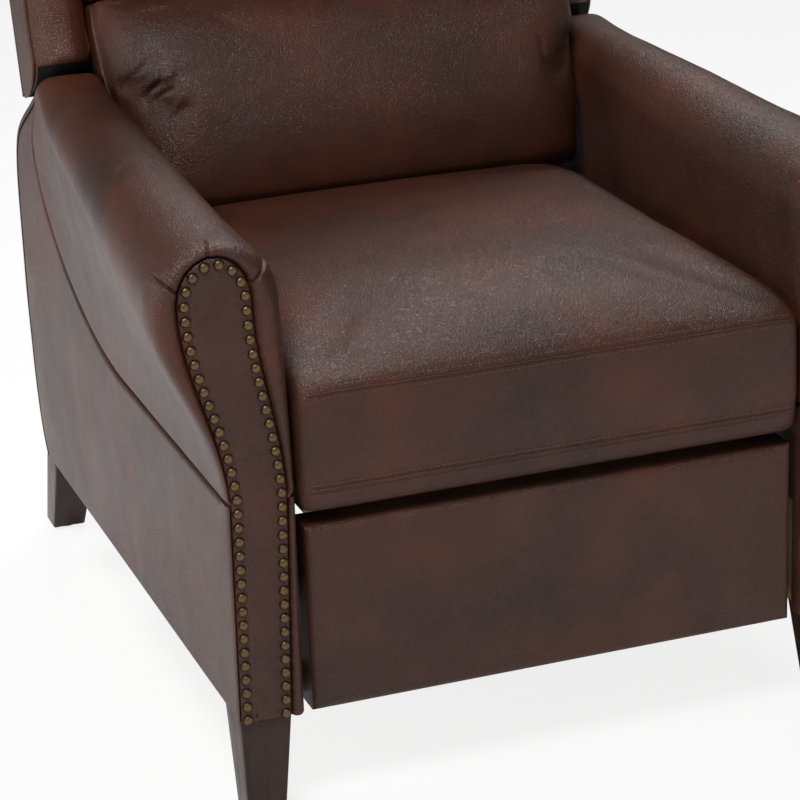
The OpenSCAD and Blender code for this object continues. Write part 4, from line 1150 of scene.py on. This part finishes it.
# Height of the seat's crown at shares of its depth, and the shares at which its line has corners
SEAT_TOPS = ((0, 0), (0.04, 0.56), (0.1, 0.78), (0.2, 0.91), (0.35, 0.98), (0.48, 1), (0.62, 0.96),
             (0.75, 0.84), (0.87, 0.5), (1, -0.1))
SEAT_STEPS = (0.012, 0.03, 0.06, 0.1, 0.16, 0.24, 0.35, 0.48, 0.6, 0.7, 0.79, 0.87, 0.94, 0.985)


def crown_height(m, u):
    """How far the seat's crown stands up, at a share of the way from its middle to its side."""
    return m.seat_crown * (1 - 0.62 * u ** 3)


def seat_cushion(m):
    """The seat's box cushion: crowned top, upright front band, and a lip that rolls under."""
    side = m.seat_side

    def section(u):
        edge = max(0.0, abs(u) - 0.93) / 0.07
        d = 0.009 * (1 - math.sqrt(max(0.0, 1 - edge * edge)))
        crown = crown_height(m, abs(u))
        low, proud = 0.3185, 0.0085
        line = [(m.seat_end - 0.004 - d, m.deck + 0.001)]
        line += [(y, m.deck + 0.001) for y in np.linspace(0.60, 0.035, 12)]
        line += [(0.026, m.deck - 0.004), (0.0235, 0.340), (0.019, low + 0.005 + d), (0.008, low + d),
                 (-0.002, low + 0.004 + d)]
        line += [(d - proud * q, low + d + 0.006 + (m.seat_seam - d / 2 - low - d - 0.006) * t)
                 for q, t in ((0.62, 0.09), (0.9, 0.2), (1, 0.45), (0.95, 0.75), (0.8, 0.97))]
        line += [(-0.0045 + d, m.seat_seam + 0.003 - d)]
        line += [(d + (m.seat_end - 2 * d) * q,
                  m.seat_seam - d + crown * float(smooth_table(SEAT_TOPS, q)) + 0.002)
                 for q in SEAT_STEPS]
        return at_side(u * side, rounded_loop(line, 150))

    across = np.sin(np.linspace(-1, 1, 61) * math.pi / 2 * 0.985) / math.sin(math.pi / 2 * 0.985)
    obj = skin("seat_leather", on_chair([section(u) for u in across]), angle=60)

    def held(p):
        y = p[:, 1] - FRONT
        under = (p[:, 2] < m.deck + 0.006) & (y > 0.012)
        seam = (np.abs(p[:, 2] - m.seat_seam) < 0.006) & (y < 0.004)
        low_seam = (np.abs(p[:, 2] - m.low_seam) < 0.005) & (y < 0.004)
        lip = p[:, 2] < 0.332
        weight = np.where(under, 1.0, 0.0)
        weight = np.maximum(weight, np.where(seam, 0.9, 0.0))
        weight = np.maximum(weight, np.where(low_seam | lip, 0.8, 0.0))
        return np.maximum(weight, np.where(y > m.seat_end - 0.012, 0.8, 0.0))

    def room(p):
        q = p.copy()
        q[:, 0] = np.clip(q[:, 0], -side - 0.001, side + 0.001)
        q[:, 1] = np.clip(q[:, 1], FRONT - 0.0145, FRONT + m.seat_end)
        behind = q[:, 1] > FRONT + 0.026
        q[:, 2] = np.where(behind, np.maximum(q[:, 2], m.deck + 0.0005), np.maximum(q[:, 2], 0.3165))
        return q

    puff(obj, held, room, cap=0.010, pressure=1.4, calm=16)
    cover(obj, "seat", "seat_cushion", fill=0.9)
    x = np.linspace(-side + 0.002, side - 0.002, 160)
    for name, z in (("seat_top_seam", m.seat_seam + 0.004 * np.abs(x / side) ** 6),
                    ("seat_low_seam", np.full(160, m.low_seam))):
        double_seam(m, name, obj, on_chair(np.stack([x, np.full(160, -0.03), z], axis=1)))


def seat_height(m, p):
    """Height of the seat's top under each point."""
    u = ramp(np.abs(p[:, 0]), 0, m.seat_side)
    q = ramp(p[:, 1], FRONT, m.seat_end)
    crown = crown_height(m, u) * smooth_table(SEAT_TOPS, q)
    return np.where(p[:, 1] > FRONT + m.seat_end, 0.0, m.seat_seam + crown)


def pillow(m, name, low, high, depth, rise, spread, lumbar):
    """A back cushion with a boxed side and a crowned front; back_cushions adds its welts afterwards."""
    tall = high - low

    def section(t):
        share = float(smooth_table(spread, t))
        width = m.arm_in - 0.006 + (m.wing_in - 0.0038 - m.arm_in + 0.006) * share
        deep = depth * float(smooth_table(rise, t)) - 0.008
        rim = deep * BOXED
        back = m.cushion_back + 0.001
        line = [(u * width * 0.985, back) for u in np.linspace(-1, 1, 9)]
        line += [(width, back + 0.012), (width, back + rim * 0.5), (width * 0.998, back + rim * 0.86)]
        front = np.sin(np.linspace(1, -1, 25) * math.pi / 2 * 0.965)
        full = [(1 - abs(u / 0.9985) ** 9) ** 0.27 for u in front]
        line += [(u * width, back + rim + (deep - rim) * q) for u, q in zip(front, full)]
        line += [(-width * 0.998, back + rim * 0.86), (-width, back + rim * 0.5), (-width, back + 0.012)]
        loop = rounded_loop(line, 170)
        ahead = ramp(loop[:, 1], 0.105, 0.03) * lumbar * ramp(t, 0.5, 0.12)
        loop[:, 0] *= 1 + 0.010 * ahead
        droop = LUMBAR_DROOP * max(0.0, 1 - t / 0.14) * ramp(loop[:, 1], *DROOP_RAMP) * lumbar
        return np.stack([loop[:, 0], loop[:, 1], low + tall * t - droop], axis=1)

    stations = (1 - np.cos(np.pi * np.linspace(0.02, 0.98, 41))) / 2
    stations = np.concatenate([[0.0], stations, [1.0]])
    return skin(name, on_back(m, [section(t) for t in stations]), angle=60)


def in_back(m, p):
    """Across, forward and up along the back, for points of the model."""
    c, s = math.cos(m.back_tilt), math.sin(m.back_tilt)
    y = p[:, 1] - FRONT - m.back_foot
    z = p[:, 2] - m.hinge_height
    return np.stack([p[:, 0], -y * c + z * s, y * s + z * c], axis=1)


# How full and how wide each back cushion is, at shares of its height
LUMBAR_RISE = ((0, 0.80), (0.05, 0.92), (0.14, 0.98), (0.3, 1.01), (0.5, 1.01), (0.64, 0.98),
               (0.81, 0.90), (0.91, 0.78), (0.97, 0.66), (1, 0.56))
LUMBAR_SPREAD = ((0, 0), (0.55, 0), (0.66, 0.9), (0.81, 1), (1, 0.8))
UPPER_RISE = ((0, 0.66), (0.04, 0.82), (0.12, 0.95), (0.22, 1), (0.42, 1), (0.66, 0.94), (0.82, 0.84),
              (0.92, 0.70), (0.98, 0.52), (1, 0.36))
UPPER_SPREAD = ((0, 0.75), (0.06, 0.9), (0.18, 1), (0.66, 1), (0.82, 0.92), (0.92, 0.78), (0.98, 0.55),
                (1, 0.4))


# Folds of the lumbar leather: across, up the back, turn in degrees, half length, half width, depth
LUMBAR_CREASES = (
    (-0.247, 0.243, 74, 0.015, 0.0034, 0.0046), (-0.236, 0.236, 58, 0.012, 0.0032, 0.0036),
    (-0.241, 0.252, 40, 0.020, 0.0050, -0.0028), (-0.228, 0.262, 30, 0.022, 0.0060, -0.0020),
    (-0.262, 0.262, 62, 0.020, 0.0040, 0.0026), (-0.226, 0.222, 84, 0.016, 0.0042, -0.0026),
    (-0.262, 0.343, 24, 0.016, 0.0030, 0.0046), (-0.236, 0.345, 12, 0.024, 0.0028, 0.0040),
    (-0.196, 0.345, 5, 0.020, 0.0030, 0.0030), (-0.222, 0.336, 16, 0.020, 0.0040, -0.0026),
    (0.250, 0.330, 104, 0.024, 0.0040, 0.0030), (0.258, 0.240, 98, 0.034, 0.0052, 0.0026),
    (0.232, 0.343, 170, 0.022, 0.0032, 0.0036), (0.215, 0.235, 112, 0.018, 0.0048, 0.0020))


def crease(m, obj, table):
    """Presses folds into the front of a back cushion."""
    points = points_of(obj)
    q = in_back(m, points)
    front = ramp(q[:, 1], 0.14, 0.05)
    for across, high, turn, long, wide, deep in table:
        c, s = math.cos(math.radians(turn)), math.sin(math.radians(turn))
        a, h = q[:, 0] - across, q[:, 2] - high
        along, beside = a * c + h * s, -a * s + h * c
        bend = beside + 0.004 * np.sin(along / long * 2.2)
        q[:, 1] -= front * deep * np.exp(-(along / long) ** 2) * np.exp(-(bend / wide) ** 2)
    set_points(obj, on_back(m, q))


def back_cushions(m):
    """The full lumbar cushion and the head cushion above it."""
    c, s = math.cos(m.back_tilt), math.sin(m.back_tilt)
    top = (m.chair_height - m.hinge_height - (m.cushion_back + m.upper_depth * 0.36) * s) / c
    jobs = (("lumbar_leather", m.lumbar_from, m.back_seam, m.lumbar_depth, LUMBAR_RISE, LUMBAR_SPREAD,
             "lumbar_cushion"),
            ("head_leather", m.back_seam + 0.0006, top, m.upper_depth, UPPER_RISE, UPPER_SPREAD,
             "upper_back_cushion"))
    for name, low, high, depth, rise, spread, node in jobs:
        lumbar = node == "lumbar_cushion"
        obj = pillow(m, name, low, high, depth, rise, spread, lumbar)

        def held(p, low=low, high=high):
            q = in_back(m, p)
            weight = np.where(q[:, 1] < m.cushion_back + 0.006, 1.0, 0.0)
            ends = (q[:, 2] < low + 0.004) | (q[:, 2] > high - 0.004)
            return np.maximum(weight, np.where(ends, 0.6, 0.0))

        def room(p, low=low, high=high, depth=depth, spread=spread, lumbar=lumbar):
            q = in_back(m, p)
            t = ramp(q[:, 2], low, high - low)
            wide = (m.arm_in - 0.0030) + (m.wing_in - m.arm_in + 0.0022) * smooth_table(spread, t)
            if lumbar:
                lift = ramp(p[:, 2], 0.565, 0.075) * ramp(q[:, 1], 0.112, 0.02)
                wide = np.maximum(wide, m.arm_in - 0.003 + 0.008 * lift)
            q[:, 0] = np.clip(q[:, 0], -wide, wide)
            q[:, 1] = np.clip(q[:, 1], m.cushion_back, m.cushion_back + depth * 1.03)
            foot = low - LUMBAR_DROOP * ramp(q[:, 1], *DROOP_RAMP) * lumbar
            q[:, 2] = np.clip(q[:, 2], foot, high)
            placed = on_back(m, q)
            if lumbar:
                placed[:, 2] = np.maximum(placed[:, 2], seat_height(m, placed) + 0.0006)
            return placed

        puff(obj, held, room, cap=0.020)
        if lumbar:
            crease(m, obj, LUMBAR_CREASES)
        cover(obj, "back", node, fill=0.85)
        for side, word in SIDES:
            t = np.linspace(0.47 if lumbar else 0.02, 0.985, 110)
            wide = (m.arm_in + 0.004) + (m.wing_in - m.arm_in + 0.006) * smooth_table(spread, t)
            deep = m.cushion_back + (depth * smooth_table(rise, t)) * 0.43
            path = on_back(m, np.stack([wide * side, deep, low + (high - low) * t], axis=1))
            place, normal = on_surface(obj, path, 0.0005)
            sunk = 0.0031 * lumbar * np.clip((0.58 - t) / 0.12, 0, 1)
            place = relaxed(place - normal * sunk[:, None], 8)
            cover(welt(f"{word}_{'lumbar' if lumbar else 'head'}_welt", place, 0.0021), "back")


def footrest_pad(m):
    """The padded face of the footrest, rounded over its board, with small tucks at its corners."""
    wide, low, high = m.arm_in - 0.009, 0.106, 0.307
    u = np.sin(np.linspace(-1, 1, 110) * math.pi / 2)
    v = np.sin(np.linspace(-1, 1, 56) * math.pi / 2)
    middle, half = (low + high) / 2, (high - low) / 2
    x, z = np.meshgrid(u * wide, middle + v * half)
    beside, over = wide - np.abs(x), half - np.abs(z - middle)
    gap = np.minimum(beside, over)
    corner = np.hypot(np.clip(beside, 0, 0.03) - 0.03, np.clip(over, 0, 0.03) - 0.03)
    y = edge_rounding(gap, 0.0085) - 0.0012 * ramp(gap, 0, 0.05) + 0.001
    grid = np.stack([x, y, z], axis=-1)
    waves = ripple(grid, 9.0, 2.0) * 0.0010 + ripple(grid, 24.0, 7.0) * 0.0003
    grid[..., 1] += ramp(gap, 0, 0.03) * waves
    tuck = np.exp(-((corner - 0.024) / 0.006) ** 2) * np.exp(-((beside - 0.016) / 0.006) ** 2)
    grid[..., 1] += 0.0012 * tuck
    border = np.concatenate([grid[0, :-1], grid[:-1, -1], grid[-1, :0:-1], grid[:0:-1, 0]])
    obj = skin("footrest_leather", on_chair(grid), closed=False, capped=False, angle=60)
    face_towards(obj, (0, -1, 0))
    skirt = np.array([border + (0, d, 0) for d in (0.0, 0.004, 0.012, 0.024, 0.0325)])
    wall = skin("footrest_skirt", on_chair(skirt), capped=False, angle=60)
    clear_selection()
    wall.select_set(True)
    obj.select_set(True)
    bpy.context.view_layer.objects.active = obj
    bpy.ops.object.join()
    edit_all(obj, lambda: bpy.ops.mesh.remove_doubles(threshold=1e-6),
             lambda: bpy.ops.mesh.fill_holes(sides=0),
             lambda: bpy.ops.mesh.normals_make_consistent(inside=False))
    soften(obj, 60)
    return dress(obj, "footrest", FINISHES["leather_panel"], "leather", "footrest_pad", fill=0.9)


# Wings and the outside of the back

WING_BOTTOM = ((0, 0), (0.26, -0.004), (0.58, 0.014), (0.68, 0.076))
WING_FRONT = ((0.68, 0.076), (0.47, 0.255), (1, 0.44), (1, 0.676))
WING_TOP = ((1, 0.676), (1, 0.87), (0.6, 0.965), (0, 0.968))
WING_SWELL = ((0, 0), (0.14, 0.37), (0.36, 0.84), (0.62, 1), (0.82, 0.79), (1, 0.32))


def wing_place(m, q, swell):
    """Forward and up the back, for points of a wing's outline given as shares of its size."""
    back = m.panel + 0.0002
    tall = m.back_len - m.wing_foot
    return np.stack([back + q[:, 0] * (m.wing_depth - back + swell), m.wing_foot + q[:, 1] * tall],
                    axis=1)


def wing(m, side, word):
    """A padded wing: flat outside, a welt along its edge, and a face that swells forward."""
    line = chain(bezier(*WING_BOTTOM, 16), bezier(*WING_FRONT, 44), bezier(*WING_TOP, 30))
    line = spaced(line, np.linspace(0, 1, 120))
    out_x, in_x = m.half - 0.0002, m.wing_in + 0.0002
    rings = []
    tight = [(0.0, 0.0035), (0.012, 0.0012), (0.03, 0.0)]
    tight += [(t, 0.0) for t in np.linspace(0.07, 0.93, 18)]
    tight += [(0.97, 0.0012), (0.99, 0.0035), (1.0, 0.007)]
    for t, draw in tight:
        place = wing_place(m, line, m.wing_swell * float(smooth_table(WING_SWELL, t)))
        step = place.mean(axis=0) - place
        step /= np.maximum(np.linalg.norm(step, axis=1), 1e-9)[:, None]
        rings.append(at_side(out_x + (in_x - out_x) * t, place + step * draw))
    rings = np.array(rings)
    soft = np.sin(np.pi * np.linspace(0, 1, len(rings)))[:, None]
    rings[..., 1] += soft * ripple(rings, 14.0, 5.0 * side) * 0.0012 * (rings[..., 1] > 0.03)
    obj = skin(f"{word}_wing_leather", on_back(m, mirrored(rings, side)), angle=48)
    cover(obj, "back", f"{word}_wing", fill=0.85)
    path = at_side(out_x + 0.0004, wing_place(m, line, 0.0)[6:] - (0.0006, 0))
    cover(welt(f"{word}_wing_welt", on_back(m, mirrored(path, side)), 0.0023), "back")


def wing_lining(m):
    """Black cloth under both wings, up to where their leather turns in."""
    for side, word in SIDES:
        line = bezier(*WING_BOTTOM, 40)
        rows = []
        for x in np.linspace(m.half - 0.0035, m.wing_in + 0.002, 20):
            swell = m.wing_swell * float(smooth_table(WING_SWELL, (m.half - x) / m.wing_width))
            flat = wing_place(m, line, swell)
            ahead = np.gradient(flat, axis=0)
            ahead /= np.linalg.norm(ahead, axis=1)[:, None]
            flat = flat + np.stack([ahead[:, 1], -ahead[:, 0]], axis=1) * 0.0014
            rows.append(at_side(x, flat[:38]))
        obj = skin(f"{word}_wing_lining", on_back(m, mirrored(rows, side)), closed=False, capped=False)
        face_towards(obj, (0, -0.4, -1))
        thicken(obj, 0.0010)
        dress(obj, "back", FINISHES["black_cloth"], "black_cloth", "wing_linings")


def outside_back(m):
    """The leather of the outside back, a little full, with a welt round its edge."""
    narrow, wide, corner = m.arm_in - 0.009, m.half - 0.002, 0.040
    low, high = -0.026, m.back_len
    step, below = m.wing_foot, 40
    s = np.concatenate([np.linspace(low, step - 0.0004, below), np.linspace(step, high - corner, 50),
                        high - corner + corner * np.sin(np.radians(np.linspace(6, 90, 14)))])
    u = np.sin(np.linspace(-1, 1, 90) * math.pi / 2)
    grid = []
    for t in s:
        half = narrow if t < step - 0.0002 else wide
        if t > high - corner:
            half = wide - corner + math.sqrt(max(0.0, corner ** 2 - (t - high + corner) ** 2))
        grid.append(np.stack([u * half, np.zeros(90), np.full(90, t)], axis=1))
    grid = np.array(grid)
    flat = grid[..., [0, 2]]
    outline = np.concatenate([flat[0], flat[:, -1], flat[-1, ::-1], flat[::-1, 0]])
    gap = distance_to(flat, outline)
    grid[..., 1] = edge_rounding(gap, 0.006) - 0.0045 * ramp(gap, 0, 0.16) ** 0.7
    waves = ripple(grid, 7.0, 1.0) * 0.0016 + ripple(grid, 18.0, 8.0) * 0.0005
    grid[..., 1] -= ramp(gap, 0, 0.05) * waves
    obj = skin("outside_back_leather", on_back(m, grid), closed=False, capped=False)
    face_towards(obj, (0, 1, 0))
    thicken(obj, 0.006)
    dress(obj, "back", FINISHES["leather_panel"], "leather", "outside_back_panel", fill=0.8)
    for side, word in SIDES:
        run = at_depth(0.0055, flat[below:, -1] * (side, 1))
        cover(welt(f"{word}_outside_welt", on_back(m, run), 0.0024), "back")


def seat_deck(m):
    """The black cloth deck over the seat springs, sagging a little between them."""
    side, front, rear = m.arm_in - 0.015, 0.0254, 0.600
    x, y = np.meshgrid(np.linspace(-side, side, 60), np.linspace(front, rear, 50))
    hang = np.sin(np.pi * (x + side) / (2 * side)) * np.sin(np.pi * (y - front) / (rear - front))
    z = m.deck - 0.0004 - 0.0012 * hang
    obj = skin("deck_cloth", on_chair(np.stack([x, y, z], axis=-1)), closed=False, capped=False)
    face_towards(obj, (0, 0, 1))
    thicken(obj, 0.0035)
    return dress(obj, "seat", FINISHES["black_cloth"], "black_cloth", "seat_deck")


# Operators

def ready():
    """The sizes, with the finishes made if they aren't there yet."""
    if not FINISHES:
        FINISHES.update(make_finishes(bpy.context.scene.recliner_colours))
    return measures()


class RECLINER_OT_frame_finish(bpy.types.Operator):
    """Gives every solid of the frame and the mechanism its wood, steel, zinc or nylon finish"""
    bl_idname = "recliner.frame_finish"
    bl_label = "Frame and mechanism"

    def execute(self, context):
        ready()
        for row in frame["record"]["subparts"]:
            node = frame["nodes"][row["node"]]
            node.data.materials.clear()
            node.data.materials.append(FINISHES[row["material_slot"]])
        return {"FINISHED"}


class RECLINER_OT_arm_rolls(bpy.types.Operator):
    """Makes the padded arm rolls with their pleated collars and the strips below them"""
    bl_idname = "recliner.arm_rolls"
    bl_label = "Arm rolls"

    def execute(self, context):
        m = ready()
        for side, word in SIDES:
            arm_roll(m, side, word)
            collar_leg(m, side, word, inner=True)
            collar_leg(m, side, word, inner=False)
        return {"FINISHED"}


class RECLINER_OT_arm_fronts(bpy.types.Operator):
    """Makes the keyhole panels of the arm fronts and the nails round them"""
    bl_idname = "recliner.arm_fronts"
    bl_label = "Arm fronts and nails"

    def execute(self, context):
        m = ready()
        for side, word in SIDES:
            keyhole_panel(m, side, word)
            nail_row(m, side, word)
        return {"FINISHED"}


class RECLINER_OT_arm_sides(bpy.types.Operator):
    """Makes the outer and inner leather of the arms and the band round their rear edges"""
    bl_idname = "recliner.arm_sides"
    bl_label = "Arm sides"

    def execute(self, context):
        m = ready()
        for side, word in SIDES:
            side_panel(m, side, word)
            rear_band(m, side, word)
            inner_panel(m, side, word)
        return {"FINISHED"}


class RECLINER_OT_legs(bpy.types.Operator):
    """Makes the four tapered legs and the covered rear rail"""
    bl_idname = "recliner.legs"
    bl_label = "Legs and rear rail"

    def execute(self, context):
        m = ready()
        for side, word in SIDES:
            leg(m, side, word, rear=False)
            leg(m, side, word, rear=True)
        rail_cover(m)
        return {"FINISHED"}


class RECLINER_OT_seat(bpy.types.Operator):
    """Makes the seat cushion, its seams and the deck under it"""
    bl_idname = "recliner.seat"
    bl_label = "Seat"

    def execute(self, context):
        m = ready()
        seat_cushion(m)
        seat_deck(m)
        return {"FINISHED"}


class RECLINER_OT_footrest(bpy.types.Operator):
    """Makes the padded footrest panel"""
    bl_idname = "recliner.footrest"
    bl_label = "Footrest"

    def execute(self, context):
        footrest_pad(ready())
        return {"FINISHED"}


class RECLINER_OT_back(bpy.types.Operator):
    """Makes the lumbar cushion, the head cushion and the outside back"""
    bl_idname = "recliner.back"
    bl_label = "Back"

    def execute(self, context):
        m = ready()
        back_cushions(m)
        outside_back(m)
        return {"FINISHED"}


class RECLINER_OT_wings(bpy.types.Operator):
    """Makes the wings with their welts and the lining under them"""
    bl_idname = "recliner.wings"
    bl_label = "Wings"

    def execute(self, context):
        m = ready()
        for side, word in SIDES:
            wing(m, side, word)
        wing_lining(m)
        return {"FINISHED"}


def lamp(name, place, target, size, watts):
    data = bpy.data.lights.new(name, "AREA")
    data.shape, data.size, data.size_y, data.energy = "RECTANGLE", size[0], size[1], watts
    obj = bpy.data.objects.new(name, data)
    obj.location = place
    obj.rotation_euler = (Vector(target) - Vector(place)).to_track_quat("-Z", "Y").to_euler()
    bpy.context.scene.collection.objects.link(obj)


# Lamps: name, place, what each points at, width and height, power
LAMPS = (("key_lamp", (-1.5, -2.0, 3.6), (0, 0, 0.45), (1.4, 1.4), 130),
         ("top_lamp", (0.7, 1.5, 2.5), (0, 0, 0.5), (1.6, 0.9), 40),
         ("side_lamp", (-3.2, 0.9, 1.3), (-0.3, 0, 0.4), (0.9, 1.6), 38),
         ("fill_lamp", (1.5, -3.4, 1.0), (0, 0, 0.45), (2.2, 1.6), 12))
# Camera: place, turn, tilt and roll in degrees, lens and sensor in mm
CAMERA_PLACE, CAMERA_TURNS = (-1.0480, -2.9511, 1.4104), (-19.457, 20.354, -2.101)
LENS, SENSOR = 129.54, 36.0
# Brightness of the floor as the camera sees it, and of the surround on rough surfaces
FLOOR_GLOW, ROUGH_SURROUND = 0.84, 0.13


def make_floor():
    """The pale floor: the camera sees it glow, with the chair's shadows on it."""
    bpy.ops.mesh.primitive_plane_add(size=16)
    floor = bpy.context.object
    floor.name = "floor"
    white = bpy.data.materials.new("pale_floor")
    white.use_nodes = True
    tree = white.node_tree
    shader = node_of(tree, "BSDF_PRINCIPLED")
    shader.inputs["Base Color"].default_value = (0.9, 0.9, 0.9, 1)
    shader.inputs["Roughness"].default_value = 0.9
    shader.inputs["Specular IOR Level"].default_value = 0.0
    glow = tree.nodes.new("ShaderNodeEmission")
    mix = tree.nodes.new("ShaderNodeMixShader")
    rays = tree.nodes.new("ShaderNodeLightPath")
    level = Signal(tree, rays.outputs["Is Camera Ray"]) * FLOOR_GLOW
    tree.links.new(level.socket, mix.inputs[0])
    tree.links.new(shader.outputs[0], mix.inputs[1])
    tree.links.new(glow.outputs[0], mix.inputs[2])
    tree.links.new(mix.outputs[0], node_of(tree, "OUTPUT_MATERIAL").inputs["Surface"])
    floor.data.materials.append(white)


def make_surround(c):
    """A surround that is white to the camera and dim in reflections and on rough surfaces."""
    world = bpy.data.worlds.new("studio")
    bpy.context.scene.world = world
    world.use_nodes = True
    tree = world.node_tree
    background = node_of(tree, "BACKGROUND")
    rays = tree.nodes.new("ShaderNodeLightPath")
    seen, glossy, through = (Signal(tree, rays.outputs[name]) for name in (
        "Is Camera Ray", "Is Glossy Ray", "Is Transmission Ray"))
    mirror = glossy + through
    level = seen + mirror * c.surround + (1 - seen - mirror) * ROUGH_SURROUND
    background.inputs["Color"].default_value = (1, 1, 1, 1)
    tree.links.new(level.socket, background.inputs["Strength"])


def make_camera():
    turn, tilt, roll = (math.radians(angle) for angle in CAMERA_TURNS)
    ahead = np.array([math.sin(-turn) * math.cos(tilt), math.cos(-turn) * math.cos(tilt),
                      -math.sin(tilt)])
    right = np.array([math.cos(-turn), -math.sin(-turn), 0.0])
    up = np.cross(right, ahead)
    across = math.cos(roll) * right + math.sin(roll) * up
    high = -math.sin(roll) * right + math.cos(roll) * up
    data = bpy.data.cameras.new("camera")
    data.sensor_width, data.lens = SENSOR, LENS
    camera = bpy.data.objects.new("camera", data)
    camera.matrix_world = Matrix([[across[k], high[k], -ahead[k], CAMERA_PLACE[k]]
                                  for k in range(3)] + [[0, 0, 0, 1]])
    bpy.context.scene.collection.objects.link(camera)
    bpy.context.scene.camera = camera


class RECLINER_OT_stage(bpy.types.Operator):
    """Sets the pale floor, the white surround, the soft lamps and the camera"""
    bl_idname = "recliner.stage"
    bl_label = "Stage"

    def execute(self, context):
        c = context.scene.recliner_colours
        clear_selection()
        make_floor()
        make_surround(c)
        for name, place, target, size, watts in LAMPS:
            lamp(name, place, target, size, watts * c.lamp_strength)
        make_camera()
        context.scene.view_settings.view_transform = "Standard"
        return {"FINISHED"}


class RECLINER_PT_panel(bpy.types.Panel):
    """Sizes, colours and pieces of the recliner"""
    bl_idname = "RECLINER_PT_panel"
    bl_label = "Wingback recliner"
    bl_space_type = "VIEW_3D"
    bl_region_type = "UI"
    bl_category = "Recliner"

    def draw(self, context):
        for group in (context.scene.recliner_sizes, context.scene.recliner_colours):
            box = self.layout.box()
            for key in group.bl_rna.properties.keys():
                if key not in ("rna_type", "name"):
                    box.prop(group, key)
        for operator in PIECES:
            self.layout.operator(operator.bl_idname)


PIECES = (RECLINER_OT_stage, RECLINER_OT_frame_finish, RECLINER_OT_arm_rolls, RECLINER_OT_arm_fronts,
          RECLINER_OT_arm_sides, RECLINER_OT_legs, RECLINER_OT_footrest, RECLINER_OT_seat,
          RECLINER_OT_back, RECLINER_OT_wings)
CLASSES = (ReclinerSizes, ReclinerColours) + PIECES + (RECLINER_PT_panel,)


def register():
    for item in CLASSES:
        bpy.utils.register_class(item)
    bpy.types.Scene.recliner_sizes = PointerProperty(type=ReclinerSizes)
    bpy.types.Scene.recliner_colours = PointerProperty(type=ReclinerColours)


def unregister():
    del bpy.types.Scene.recliner_sizes
    del bpy.types.Scene.recliner_colours
    for item in reversed(CLASSES):
        bpy.utils.unregister_class(item)


def main():
    register()
    for operator in PIECES:
        family, name = operator.bl_idname.split(".")
        getattr(getattr(bpy.ops, family), name)()
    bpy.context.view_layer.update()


if __name__ == "__main__":
    main()
